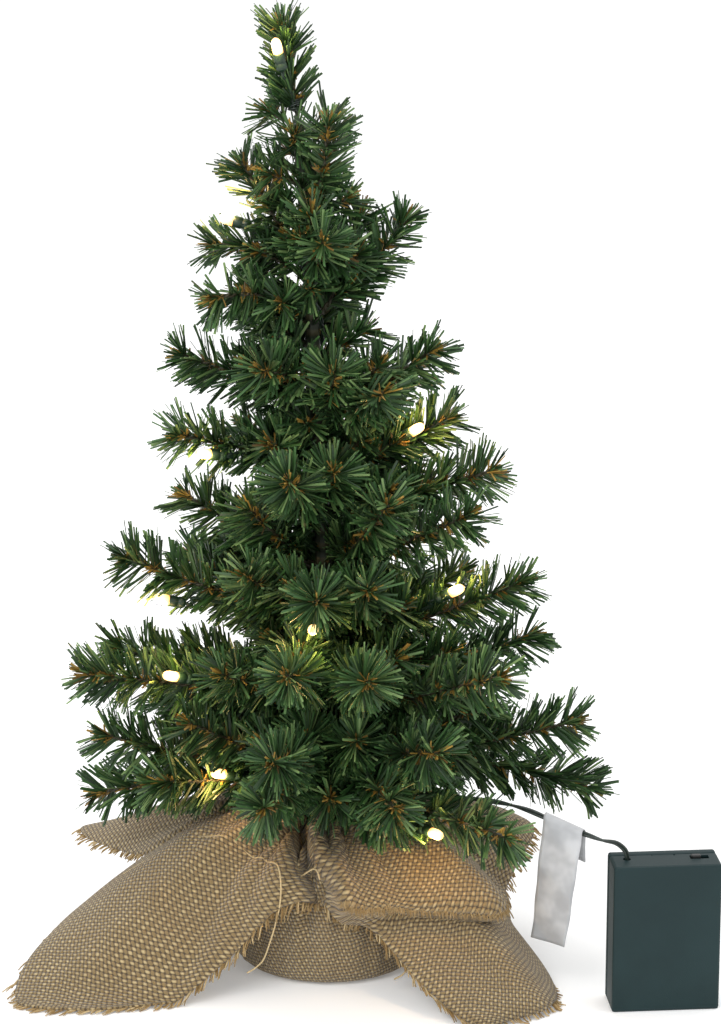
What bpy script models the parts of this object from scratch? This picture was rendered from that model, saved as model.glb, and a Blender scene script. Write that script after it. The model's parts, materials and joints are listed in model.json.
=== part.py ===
"""Artificial tabletop tree: a wired PVC tree on a cast weight wrapped in burlap, with a battery light string.

Everything is in metres, +Z up. The origin is the middle of the flat underside, on the axis of the trunk's foot.
The front of the tree faces -Y. Angles around the trunk are in degrees from +X, anticlockwise from above.
"""
import math

import bmesh
import bpy
from mathutils import Matrix, Vector

MM = 0.001

# ---------------------------------------------------------------- driving dimensions
GAP = 0.0003                # between meshes that touch on the real object

# weight, burlap and trunk
WEIGHT_RADIUS = 0.0405
WEIGHT_HEIGHT = 0.047
WEIGHT_CHAMFER = 0.004
SOCKET_DEPTH = 0.034
CLOTH = 0.0016              # firm thickness of the burlap
CLOTH_EASE = 0.0022         # slack between the burlap and the weight
NECK_RADIUS = 0.014         # outside of the gathered neck
NECK_LENGTH = 0.004
SHOULDER_RISE = 0.011       # from the top of the weight to the neck
TIE_THICKNESS = 0.0018
TRUNK_RISE = 0.328          # from the neck to the top of the trunk
TRUNK_FOOT_RADIUS = 0.0042
TRUNK_TOP_RADIUS = 0.0026
TRUNK_LEAN = 0.0125         # how far the top of the trunk stands to the left

# brush wire
STEM_RADIUS = 0.0015
BRUSH_RADIUS = 0.0070       # firm middle of the needles
ROOT_GAP = 0.0005           # between a branch's root and the trunk
LEADER_LENGTH = 0.058
LEADER_LEAN = 0.0085

# light string
WIRE_RADIUS = 0.0009
STRING_TURNS = -4.125       # clockwise going up
STRING_START = 349.0        # its angle at the neck
LAMP_HOLDER_RADIUS = 0.0026
LAMP_HOLDER_LENGTH = 0.010
LAMP_LENS_RADIUS = 0.0023
LAMP_LENS_LENGTH = 0.007
LEAD_RADIUS = 0.0012

# battery box: three AA cells side by side
CELL_RADIUS = 0.00725
CELL_LENGTH = 0.0495
CELL_GAP = 0.0006
BOX_WALL = 0.0012
BOX_FRONT_WALL = 0.0016
BOX_HEADROOM = 0.0125       # above the cells, for the switch and the wires
COVER_DEPTH = 0.0050
BOX_EDGE = 0.0012           # rounding of the box's edges
CONTACT = 0.0005            # thickness of a contact strip
CONTACT_ROOM = 0.0016       # from a cell's end to the wall behind its contact
KNOB_LENGTH = 0.0042
KNOB_WIDTH = 0.0030
KNOB_RISE = 0.0012
KNOB_TRAVEL = 0.0030
LATCH_WIDTH = 0.0095
LATCH_REACH = 0.0022
BOX_PLACE = Vector((0.150, -0.0595, 0.0))
BOX_TURN = 5.0
KNOB_OFFSET = 0.0155        # from the middle of the box's top
HOLE_OFFSET = -0.0170

# swing tag
TAG_WIDTH = 0.019
TAG_LENGTH = 0.056
TAG_THICKNESS = 0.0006
TAG_EASE = 0.0010           # between the tag's fold and the lead
TAG_SWING = -0.007          # how far its free end hangs towards the tree
TAG_TWIST = 0.30            # how far its free end turns, in radians

# ---------------------------------------------------------------- sizes that follow
WEIGHT_BOTTOM = CLOTH + GAP
WEIGHT_TOP = WEIGHT_BOTTOM + WEIGHT_HEIGHT
NECK = WEIGHT_TOP + SHOULDER_RISE
CELL_ROW = 6 * CELL_RADIUS + 4 * CELL_GAP
BOX_WIDTH = CELL_ROW + 2 * BOX_WALL
BOX_HEIGHT = CELL_LENGTH + 2 * CONTACT_ROOM + BOX_HEADROOM + 3 * BOX_WALL
BOX_DEPTH = BOX_FRONT_WALL + 2 * CELL_RADIUS + 2 * CELL_GAP + BOX_WALL + 0.0025
CASE_DEPTH = BOX_DEPTH - COVER_DEPTH
CELL_FLOOR = BOX_WALL + CONTACT_ROOM
CELL_CENTRE_Y = BOX_FRONT_WALL + CELL_GAP + CELL_RADIUS
LEADER_FOOT_GAP = 0.0006

# Branches from the foot up: name, root height in percent of the trunk, then its tips.
# Each tip: angle around the trunk, reach in mm, rise in degrees, bow of its middle in mm.
BRANCHES = (
    ("branch_left_foot", 8, ((187, 112, 14, -2), (174, 117, -7, 4))),
    ("branch_right_foot", 9.5, ((-5, 122, 13, -2), (11, 134, -10, 9))),
    ("branch_front_foot", 11.5, ((256, 106, 16, 0), (252, 100, 1, 4))),
    ("branch_right_low_front", 6, ((-44, 120, 2, 3),)),
    ("branch_front_right_foot", 12, ((303, 100, 15, 0), (291, 94, -2, 4))),
    ("branch_back_right_foot", 8, ((45, 104, 6, 2), (72, 100, 14, 0))),
    ("branch_back_left_foot", 10.5, ((112, 103, 12, 0), (143, 108, 5, 3))),
    ("branch_left_lower", 19.5, ((170, 108, 12, -3), (196, 122, 11, 0))),
    ("branch_right_lower_front", 17.5, ((-36, 104, 20, 0),)),
    ("branch_right_lower", 20.5, ((8, 104, 15, -4),)),
    ("branch_front_lower", 23, ((259, 96, 17, 0), (283, 94, 15, 0))),
    ("branch_back_lower", 22, ((62, 96, 18, 0), (100, 98, 13, 0))),
    ("branch_back_left_lower", 26, ((138, 96, 20, 0),)),
    ("branch_left_middle", 31.5, ((190, 100, 20, -2),)),
    ("branch_right_middle", 28, ((21, 76, 21, 0), (-7, 99, 20, -3))),
    ("branch_front_middle", 33, ((268, 85, 18, 0),)),
    ("branch_back_middle", 35, ((80, 86, 21, 0), (118, 80, 16, 0))),
    ("branch_left_middle_back", 38.5, ((173, 71, 27, 0),)),
    ("branch_right_middle_front", 38, ((-31, 84, 26, 0),)),
    ("branch_right_upper_long", 46, ((-9, 86, 17, 0),)),
    ("branch_front_upper_long", 47.5, ((256, 66, 24, 0),)),
    ("branch_right_upper_back", 50.5, ((12, 68, 25, 0),)),
    ("branch_left_upper_front", 54, ((201, 76, 14, 0),)),
    ("branch_back_upper", 51, ((58, 68, 25, 0), (105, 66, 20, 0))),
    ("branch_right_upper", 59, ((-16, 61, 35, 0), (310, 55, 26, 0))),
    ("branch_left_upper", 62.5, ((183, 69, 19, 0),)),
    ("branch_front_upper", 64.5, ((232, 47, 17, 2),)),
    ("branch_back_top", 68, ((74, 48, 30, 0), (128, 52, 24, 0))),
    ("branch_right_top", 74, ((14, 48, 46, -3),)),
    ("branch_left_top_front", 75.5, ((214, 61, 6, 5),)),
    ("branch_front_top", 80.5, ((282, 44, 28, 0), (274, 30, 50, 0))),
    ("branch_left_top", 82, ((169, 53, 3, 2),)),
    ("branch_crown_front", 88, ((300, 21, 68, -5),)),
)
# A lamp's branch, tip number, place along that tip, and angle around the brush (0 is above, 90 to its left).
LAMPS = (
    ("lamp_01", "leader_tip", 0, 0.42, 105),
    ("lamp_02", "branch_left_top", 0, 0.40, 15),
    ("lamp_03", "branch_left_upper_front", 0, 0.56, 110),
    ("lamp_04", "branch_right_upper_back", 0, 0.44, -60),
    ("lamp_05", "branch_left_middle", 0, 0.56, 150),
    ("lamp_06", "branch_right_middle", 1, 0.48, -40),
    ("lamp_07", "branch_front_middle", 0, 0.58, -170),
    ("lamp_08", "branch_left_lower", 1, 0.50, 60),
    ("lamp_09", "branch_left_foot", 0, 0.30, 100),
    ("lamp_10", "branch_right_low_front", 0, 0.52, -110),
)
# The firm outline of a brush: place along it, and radius as a share of the brush (0 is the bare stem).
BRUSH_OUTLINE = ((0.0, 0.0), (0.12, 0.0), (0.30, 0.80), (0.55, 1.0), (0.84, 0.95), (0.96, 0.62), (1.0, 0.25))

# Burlap corners: angle, reach and height of the point, and half the width of its fold in degrees.
BURLAP_CORNERS = (
    (202, 0.150, 0.0008, 26),
    (-45, 0.126, 0.0008, 22),
    (24, 0.106, 0.046, 22),
    (146, 0.112, 0.040, 25),
)
BURLAP_EDGE_REACH = 0.056
BURLAP_EDGE_HEIGHT = 0.044
BURLAP_SIDES = 32

# The lead's own points, from where it leaves the tree to the box; the last ones are set from its hole.
LEAD_ROUTE = (
    (0.0022, -0.0056, 0.0724),
    (0.0100, -0.0066, 0.0745),
    (0.0190, -0.0086, 0.0790),
    (0.0290, -0.0126, 0.0830),
    (0.0400, -0.0182, 0.0852),
    (0.0530, -0.0250, 0.0861),
    (0.0660, -0.0316, 0.0866),
    (0.0780, -0.0374, 0.0868),
    (0.0890, -0.0430, 0.0856),
    (0.0990, -0.0480, 0.0828),
    (0.1080, -0.0520, 0.0798),
    (0.1160, -0.0551, 0.0779),
)
LEAD_DROP = ((-0.0110, 0.0030, 0.0078), (-0.0050, 0.0012, 0.0072), (-0.0012, 0.0003, 0.0045), (0, 0, 0.0012))
TAG_AT = 9.75               # place of the tag along the lead's own points


# ---------------------------------------------------------------- scene, materials and helpers
def clear_scene():
    for thing in list(bpy.data.objects):
        bpy.data.objects.remove(thing, do_unlink=True)
    for group in list(bpy.data.collections):
        bpy.data.collections.remove(group)


def new_collection(name):
    group = bpy.data.collections.new(name)
    bpy.context.scene.collection.children.link(group)
    return group


def material(name, colour, roughness, metallic=0.0):
    found = bpy.data.materials.get(name)
    if found:
        return found
    made = bpy.data.materials.new(name)
    made.use_nodes = True
    shader = made.node_tree.nodes["Principled BSDF"]
    shader.inputs["Base Color"].default_value = (*colour, 1.0)
    shader.inputs["Roughness"].default_value = roughness
    shader.inputs["Metallic"].default_value = metallic
    return made


FINISHES = {
    "needles": ((0.035, 0.12, 0.045), 0.55, 0.0),
    "stem": ((0.05, 0.09, 0.04), 0.6, 0.0),
    "burlap": ((0.45, 0.34, 0.20), 0.95, 0.0),
    "jute": ((0.50, 0.40, 0.25), 0.95, 0.0),
    "plaster": ((0.72, 0.70, 0.66), 0.9, 0.0),
    "wire": ((0.012, 0.030, 0.018), 0.45, 0.0),
    "lamp": ((0.95, 0.80, 0.45), 0.15, 0.0),
    "box": ((0.030, 0.058, 0.055), 0.42, 0.0),
    "knob": ((0.010, 0.012, 0.012), 0.4, 0.0),
    "cell": ((0.30, 0.31, 0.33), 0.35, 1.0),
    "contact": ((0.75, 0.74, 0.70), 0.25, 1.0),
    "tag": ((0.85, 0.85, 0.85), 0.6, 0.0),
}


def finish(thing, name):
    thing.data.materials.clear()
    thing.data.materials.append(material(name, *FINISHES[name]))


def place(thing, group, parent=None):
    """Move an object to its collection, and hang it on a parent without moving it."""
    for old in list(thing.users_collection):
        old.objects.unlink(thing)
    group.objects.link(thing)
    if parent:
        thing.parent = parent


def tube(name, points, radii, sides, origin=Vector((0, 0, 0))):
    """A bevelled curve through the points, with a radius at each, and its object's origin where it is told."""
    curve = bpy.data.curves.new(name, "CURVE")
    curve.dimensions = "3D"
    curve.bevel_depth = MM
    curve.bevel_resolution = sides // 2 - 2
    curve.use_fill_caps = True
    spline = curve.splines.new("POLY")
    spline.points.add(len(points) - 1)
    for slot, at, radius in zip(spline.points, points, radii):
        slot.co = (*(Vector(at) - origin), 1.0)
        slot.radius = radius / MM
    thing = bpy.data.objects.new(name, curve)
    thing.location = origin
    bpy.context.scene.collection.objects.link(thing)
    return thing


def as_mesh(thing):
    """Replace a curve object by its welded mesh, where it was."""
    bpy.context.view_layer.update()
    depsgraph = bpy.context.evaluated_depsgraph_get()
    mesh = bpy.data.meshes.new_from_object(thing.evaluated_get(depsgraph))
    work = bmesh.new()
    work.from_mesh(mesh)
    bmesh.ops.remove_doubles(work, verts=work.verts, dist=0.00001)
    bmesh.ops.recalc_face_normals(work, faces=work.faces)
    work.to_mesh(mesh)
    work.free()
    made = bpy.data.objects.new(thing.name, mesh)
    made.matrix_world = thing.matrix_world.copy()
    bpy.context.scene.collection.objects.link(made)
    name = thing.name
    bpy.data.objects.remove(thing, do_unlink=True)
    made.name = name
    return made


def block(name, low, high):
    """A box between two corners, whose scale is applied."""
    low, high = Vector(low), Vector(high)
    mesh = bpy.data.meshes.new(name)
    work = bmesh.new()
    size = high - low
    where = Matrix.Translation((low + high) / 2) @ Matrix.Diagonal((*size, 1.0))
    bmesh.ops.create_cube(work, size=1.0, matrix=where)
    work.to_mesh(mesh)
    work.free()
    thing = bpy.data.objects.new(name, mesh)
    bpy.context.scene.collection.objects.link(thing)
    return thing


def rod(name, centre, radius, length, turn=Matrix.Identity(4), sides=24):
    """A cylinder about its centre, along Z before it is turned."""
    mesh = bpy.data.meshes.new(name)
    work = bmesh.new()
    where = Matrix.Translation(Vector(centre)) @ turn
    bmesh.ops.create_cone(work, cap_ends=True, segments=sides, radius1=radius, radius2=radius, depth=length, matrix=where)
    work.to_mesh(mesh)
    work.free()
    thing = bpy.data.objects.new(name, mesh)
    bpy.context.scene.collection.objects.link(thing)
    return thing


def turned(name, profile, steps):
    """A profile of (radius, height) turned about Z, running from the axis over the top and down the outside."""
    mesh = bpy.data.meshes.new(name)
    mesh.from_pydata([(r, 0, z) for r, z in profile], [(i, i + 1) for i in range(len(profile) - 1)], [])
    thing = bpy.data.objects.new(name, mesh)
    bpy.context.scene.collection.objects.link(thing)
    screw = thing.modifiers.new("turn", "SCREW")
    screw.steps = steps
    screw.render_steps = steps
    screw.use_merge_vertices = True
    screw.merge_threshold = 0.00005
    return thing


def round_edges(thing, width, segments=2):
    bevel = thing.modifiers.new("round", "BEVEL")
    bevel.width = width
    bevel.segments = segments
    bevel.limit_method = "ANGLE"


def boolean(thing, other, operation):
    step = thing.modifiers.new(operation.lower(), "BOOLEAN")
    step.operation = operation
    step.object = other
    step.solver = "EXACT"


def cut(thing, cutter, cutters):
    """Subtract a cutter, which stays in the file as a wire outline."""
    boolean(thing, cutter, "DIFFERENCE")
    cutter.hide_render = True
    cutter.display_type = "WIRE"
    place(cutter, cutters, thing.parent)


# ---------------------------------------------------------------- trunk and branches
def trunk_centre(share):
    """The middle of the trunk, from 0 at the neck to 1 at its top."""
    rise = NECK + share * TRUNK_RISE
    return Vector((-TRUNK_LEAN * max(share, 0.0) ** 2, 0.0, rise))


def trunk_radius(share):
    return TRUNK_FOOT_RADIUS + (TRUNK_TOP_RADIUS - TRUNK_FOOT_RADIUS) * min(max(share, 0.0), 1.0)


def around(angle):
    return Vector((math.cos(math.radians(angle)), math.sin(math.radians(angle)), 0.0))


def branch_angle(tips):
    """The direction in which a branch leaves the trunk: midway between its tips."""
    whole = sum((around(tip[0]) for tip in tips), Vector((0, 0, 0)))
    return math.degrees(math.atan2(whole.y, whole.x))


def branch_pivot(percent, tips):
    share = percent / 100
    stand_off = trunk_radius(share) + ROOT_GAP + STEM_RADIUS
    return trunk_centre(share) + around(branch_angle(tips)) * stand_off


def hinge_axis(tips):
    """The axis about which a branch bends at its root; a positive turn lifts its tip."""
    angle = math.radians(branch_angle(tips))
    return Vector((math.sin(angle), -math.cos(angle), 0.0))


def bent(start, end, bow, place_on):
    """A point on the gentle curve from start to end, whose middle is lifted by the bow."""
    across = Vector(((end - start).y, -(end - start).x, 0.0))
    up = across.cross(end - start).normalized() if across.length > 1e-6 else Vector((1, 0, 0))
    middle = (start + end) / 2 + up * 2 * bow
    t = place_on
    return start * (1 - t) ** 2 + middle * 2 * t * (1 - t) + end * t * t


def tip_end(percent, tip):
    angle, reach, rise, _ = tip
    centre = trunk_centre(percent / 100)
    return centre + around(angle) * reach * MM + Vector((0, 0, reach * MM * math.tan(math.radians(rise))))


def brush_radius_at(t):
    for (t0, r0), (t1, r1) in zip(BRUSH_OUTLINE, BRUSH_OUTLINE[1:]):
        if t <= t1:
            share = r0 + (r1 - r0) * (t - t0) / (t1 - t0)
            return STEM_RADIUS + (BRUSH_RADIUS - STEM_RADIUS) * share
    return STEM_RADIUS


def brush(name, start, end, bow, pivot, from_start=0.0):
    places = [max(t, from_start) for t, _ in BRUSH_OUTLINE]
    points = [bent(start, end, bow, t) for t in places]
    return tube(name, points, [brush_radius_at(t) for t, _ in BRUSH_OUTLINE], 6, pivot)


def make_branch(name, percent, tips, group, cutters):
    """One piece of brush wire bent out of the trunk's bundle, with one tip or two from the same root."""
    pivot = branch_pivot(percent, tips)
    first = brush(name, pivot, tip_end(percent, tips[0]), tips[0][3] * MM, pivot)
    if len(tips) == 2:
        first = as_mesh(first)
        # the second tip's wire starts just inside the first one's, clear of its end cap
        second = brush(name + "_second", pivot, tip_end(percent, tips[1]), tips[1][3] * MM, pivot, 0.012)
        second = as_mesh(second)
        boolean(first, second, "UNION")
        second.hide_render = True
        second.display_type = "WIRE"
        place(second, cutters)
    finish(first, "needles")
    place(first, group)
    return first


def leader_ends():
    foot = trunk_centre(1.0) + Vector((0, 0, LEADER_FOOT_GAP + STEM_RADIUS))
    return foot, foot + Vector((-LEADER_LEAN, 0, LEADER_LENGTH - STEM_RADIUS - LEADER_FOOT_GAP))


def make_trunk(group):
    foot = WEIGHT_TOP - SOCKET_DEPTH + GAP
    points = [Vector((0, 0, foot)), Vector((0, 0, (foot + NECK) / 2))]
    points += [trunk_centre(i / 10) for i in range(11)]
    radii = [TRUNK_FOOT_RADIUS] * 2 + [trunk_radius(i / 10) for i in range(11)]
    trunk = tube("trunk_rod", points, radii, 10)
    finish(trunk, "stem")
    place(trunk, group)


def make_crown(group, cutters):
    made = {}
    for name, percent, tips in BRANCHES:
        made[name] = make_branch(name, percent, tips, group, cutters)
    foot, top = leader_ends()
    leader = brush("leader_tip", foot, top, 0.0, foot)
    finish(leader, "needles")
    place(leader, group)
    made["leader_tip"] = leader
    return made


# ---------------------------------------------------------------- weight, burlap and tie
def make_weight(group):
    socket = TRUNK_FOOT_RADIUS + GAP
    floor = WEIGHT_TOP - SOCKET_DEPTH
    edge = WEIGHT_CHAMFER
    profile = [
        (0, floor),
        (socket, floor),
        (socket, WEIGHT_TOP),
        (WEIGHT_RADIUS - edge, WEIGHT_TOP),
        (WEIGHT_RADIUS, WEIGHT_TOP - edge),
        (WEIGHT_RADIUS, WEIGHT_BOTTOM + edge),
        (WEIGHT_RADIUS - edge, WEIGHT_BOTTOM),
        (0, WEIGHT_BOTTOM),
    ]
    weight = turned("base_weight", profile, 28)
    finish(weight, "plaster")
    place(weight, group)


def burlap_fold(angle):
    """Reach and height of the burlap's edge at an angle: long at its corners, short between them."""
    reach, height = BURLAP_EDGE_REACH, BURLAP_EDGE_HEIGHT
    for corner, far, end, width in BURLAP_CORNERS:
        off = (angle - corner + 180) % 360 - 180
        weight = math.exp(-((off / width) ** 2))
        reach += (far - BURLAP_EDGE_REACH) * weight
        height += (end - BURLAP_EDGE_HEIGHT) * weight
    return reach, max(height, 0.0008)


def burlap_rings():
    """Points of the burlap's outer side as (radius, height) by ring, from the middle of the underside outwards."""
    out = WEIGHT_RADIUS + CLOTH + CLOTH_EASE
    flat = WEIGHT_RADIUS - WEIGHT_CHAMFER
    top = WEIGHT_TOP + CLOTH + GAP
    sack = [
        (flat, 0.0),
        (out - 0.0008, WEIGHT_CHAMFER),
        (out + 0.0010, WEIGHT_TOP * 0.5),
        (out - 0.0002, WEIGHT_TOP - WEIGHT_CHAMFER),
        (out - WEIGHT_CHAMFER, top + 0.0015),
        ((out + NECK_RADIUS) / 2, top + 0.0045),
        (NECK_RADIUS + 0.0015, NECK - NECK_LENGTH),
        (NECK_RADIUS, NECK - NECK_LENGTH * 0.6),
        (NECK_RADIUS, NECK + NECK_LENGTH * 0.4),
    ]
    return sack


def burlap_flare(angle, t):
    """The fold above the neck at an angle: up, out over the sack and down to the edge, as t goes from 0 to 1."""
    reach, height = burlap_fold(angle)
    start = NECK + NECK_LENGTH * 0.4
    handles = (
        (NECK_RADIUS, start),
        (NECK_RADIUS + 0.006, start + 0.013),
        (0.46 * reach, start + 0.010),
        (reach, height),
    )
    shares = ((1 - t) ** 3, 3 * t * (1 - t) ** 2, 3 * t * t * (1 - t), t**3)
    return tuple(sum(s * h[k] for s, h in zip(shares, handles)) for k in (0, 1))


def make_burlap(group):
    mesh = bpy.data.meshes.new("burlap_wrap")
    work = bmesh.new()
    middle = work.verts.new((0, 0, 0))
    rings = []
    angles = [360 * i / BURLAP_SIDES for i in range(BURLAP_SIDES)]
    for r, z in burlap_rings():
        rings.append([work.verts.new(around(a) * r + Vector((0, 0, z))) for a in angles])
    for t in (0.14, 0.28, 0.42, 0.57, 0.72, 0.87, 1.0):
        ring = []
        for a in angles:
            r, z = burlap_flare(a, t)
            ring.append(work.verts.new(around(a) * r + Vector((0, 0, z))))
        rings.append(ring)
    count = BURLAP_SIDES
    for i in range(count):
        work.faces.new((middle, rings[0][(i + 1) % count], rings[0][i]))
    for inner, outer in zip(rings, rings[1:]):
        for i in range(count):
            j = (i + 1) % count
            work.faces.new((inner[i], inner[j], outer[j], outer[i]))
    work.to_mesh(mesh)
    work.free()
    cloth = bpy.data.objects.new("burlap_wrap", mesh)
    bpy.context.scene.collection.objects.link(cloth)
    shell = cloth.modifiers.new("cloth", "SOLIDIFY")
    shell.thickness = CLOTH
    shell.offset = -1.0
    finish(cloth, "burlap")
    place(cloth, group)


def make_tie(group):
    thick = TIE_THICKNESS / 2
    bpy.ops.mesh.primitive_torus_add(
        major_segments=28,
        minor_segments=6,
        major_radius=NECK_RADIUS + thick + 2 * GAP,
        minor_radius=thick,
        location=(0, 0, NECK - 0.1 * NECK_LENGTH),
    )
    tie = bpy.context.active_object
    tie.name = "neck_tie"
    finish(tie, "jute")
    place(tie, group)


# ---------------------------------------------------------------- lamps, string, lead and tag
def brush_side(start, end, bow, t, turn):
    """A direction square to a brush at place t: 0 is its upper side, 90 its left seen from the trunk."""
    along = (bent(start, end, bow, min(t + 0.02, 1.0)) - bent(start, end, bow, t - 0.02)).normalized()
    left = Vector((0, 0, 1)).cross(along).normalized()
    over = along.cross(left)
    angle = math.radians(turn)
    return over * math.cos(angle) + left * math.sin(angle), along


def make_lamp(name, carrier, tip, at, turn, group, made):
    """A lamp and the tail of wire that brings it from the trunk along its branch, as one piece."""
    if carrier == "leader_tip":
        start, end = leader_ends()
        bow = 0.0
    else:
        percent, tips = next((p, tips) for n, p, tips in BRANCHES if n == carrier)
        start, end, bow = branch_pivot(percent, tips), tip_end(percent, tips[tip]), tips[tip][3] * MM
    points, radii = [], []
    first = 0.0045 / (end - start).length
    steps = 6
    for i in range(steps + 1):
        t = first + (at - first) * i / steps
        side, along = brush_side(start, end, bow, t, turn)
        off = brush_radius_at(t) + WIRE_RADIUS + GAP + 0.0004
        points.append(bent(start, end, bow, t) + side * off)
        radii.append(WIRE_RADIUS)
    side, along = brush_side(start, end, bow, at, turn)
    seat = bent(start, end, bow, at) + side * (BRUSH_RADIUS + LAMP_HOLDER_RADIUS + 2 * GAP)
    lean = (along + side * 0.15).normalized()
    holder, lens = LAMP_HOLDER_LENGTH, LAMP_LENS_LENGTH
    body = (
        (0.0022, LAMP_HOLDER_RADIUS * 0.75),
        (0.0030, LAMP_HOLDER_RADIUS),
        (holder, LAMP_HOLDER_RADIUS),
        (holder + 0.0004, LAMP_LENS_RADIUS),
        (holder + lens * 0.7, LAMP_LENS_RADIUS),
        (holder + lens * 0.93, LAMP_LENS_RADIUS * 0.7),
        (holder + lens, LAMP_LENS_RADIUS * 0.25),
    )
    for far, radius in body:
        points.append(seat + lean * far)
        radii.append(radius)
    carrier_object = made[carrier]
    lamp = tube(name, points, radii, 8, Vector(start))
    finish(lamp, "lamp")
    place(lamp, group)
    bpy.context.view_layer.update()
    lamp.parent = carrier_object
    lamp.matrix_parent_inverse = carrier_object.matrix_world.inverted()


def string_point(share):
    """The light string winds up the trunk, a wire's thickness off it."""
    angle = STRING_START + 360 * STRING_TURNS * share
    off = trunk_radius(share) + WIRE_RADIUS + GAP + 0.0002
    return trunk_centre(share) + around(angle) * off


STRING_SHARES = (0.05, 0.965)   # where it starts and ends along the trunk


def make_string(group):
    steps = 76
    low, high = STRING_SHARES
    points = [string_point(low + (high - low) * i / steps) for i in range(steps + 1)]
    wire = tube("light_string", points, [WIRE_RADIUS] * len(points), 8)
    finish(wire, "wire")
    place(wire, group)


def smooth_route(points, step):
    """Even points along the smooth curve (a Catmull-Rom spline) through a route's own points."""
    ends = [points[0] * 2 - points[1], *points, points[-1] * 2 - points[-2]]
    fine = []
    for a, b, c, d in zip(ends, ends[1:], ends[2:], ends[3:]):
        for i in range(20):
            t = i / 20
            fine.append(
                (b * 2 + (c - a) * t + (a * 2 - b * 5 + c * 4 - d) * t * t + (b * 3 - a - c * 3 + d) * t**3) / 2
            )
    fine.append(points[-1])
    total = sum((q - p).length for p, q in zip(fine, fine[1:]))
    count = max(2, round(total / step))
    even, gone, i = [fine[0]], 0.0, 0
    for k in range(1, count):
        want = total * k / count
        while gone + (fine[i + 1] - fine[i]).length < want:
            gone += (fine[i + 1] - fine[i]).length
            i += 1
        share = (want - gone) / (fine[i + 1] - fine[i]).length
        even.append(fine[i].lerp(fine[i + 1], share))
    return [*even, fine[-1]]


def box_matrix():
    return Matrix.Translation(BOX_PLACE) @ Matrix.Rotation(math.radians(BOX_TURN), 4, "Z")


def lead_hole():
    """The middle of the lead's hole on the top of the box."""
    return box_matrix() @ Vector((HOLE_OFFSET, 0, BOX_HEIGHT))


def lead_points():
    hole = lead_hole()
    own = [Vector(p) for p in LEAD_ROUTE]
    drop = [hole + Vector(p) for p in LEAD_DROP]
    inside = hole - Vector((0, 0, BOX_WALL + 0.004))
    return [*own, *drop, inside]


def make_lead(group):
    points = smooth_route(lead_points(), 3.0 * 2 * LEAD_RADIUS)
    lead = tube("lead_cord", points, [LEAD_RADIUS] * len(points), 8)
    finish(lead, "wire")
    place(lead, group)


def tag_frame():
    """Where the tag hangs on the lead, and the lead's direction there."""
    own = [Vector(p) for p in LEAD_ROUTE]
    i = int(TAG_AT)
    at = own[i].lerp(own[i + 1], TAG_AT - i)
    return at, (own[i + 1] - own[i]).normalized()


def tag_profile():
    """The tag's folded line as (out, rise): a short back leg, a turn over the lead, and a long front leg."""
    bend = LEAD_RADIUS + TAG_EASE + TAG_THICKNESS / 2
    profile = [(-bend - 0.0006, -0.014), (-bend, -0.007), (-bend, 0.0)]
    profile += [(-bend * math.cos(a), bend * math.sin(a)) for a in (math.pi * k / 6 for k in range(1, 6))]
    profile += [(bend, -TAG_LENGTH * k / 10) for k in range(11)]
    return profile


def tag_row(out, rise):
    """The middle of the tag and its crosswise direction at one place of its folded line."""
    at, along = tag_frame()
    level = Vector((along.x, along.y, 0)).normalized()
    front = Vector((level.y, -level.x, 0))
    fall = min(max(0.0, -rise) / TAG_LENGTH, 1.0) if out > 0 else 0.0
    centre = at + front * (out + 0.002 * math.sin(math.pi * 1.4 * fall)) + Vector((0, 0, rise))
    centre += level * TAG_SWING * fall**1.3
    lay = along.lerp(level, min(1.0, 3 * fall)).normalized()
    return centre, lay * math.cos(TAG_TWIST * fall) + front * math.sin(TAG_TWIST * fall)


def make_tag(group):
    """A strip of white tape folded over the lead."""
    mesh = bpy.data.meshes.new("cord_tag")
    work = bmesh.new()
    rows = []
    for out, rise in tag_profile():
        centre, across = tag_row(out, rise)
        rows.append([work.verts.new(centre + across * TAG_WIDTH * s) for s in (-0.5, 0.0, 0.5)])
    for a, b in zip(rows, rows[1:]):
        for k in range(2):
            work.faces.new((a[k], a[k + 1], b[k + 1], b[k]))
    work.to_mesh(mesh)
    work.free()
    tag = bpy.data.objects.new("cord_tag", mesh)
    bpy.context.scene.collection.objects.link(tag)
    shell = tag.modifiers.new("tape", "SOLIDIFY")
    shell.thickness = TAG_THICKNESS
    shell.offset = 0.0
    finish(tag, "tag")
    place(tag, group)


# ---------------------------------------------------------------- battery box, in its own frame
# Its own frame: X across, Y from the front's outside at -BOX_DEPTH/2 to the cover's at +BOX_DEPTH/2, Z up.
def from_front(depth):
    return depth - BOX_DEPTH / 2


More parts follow.
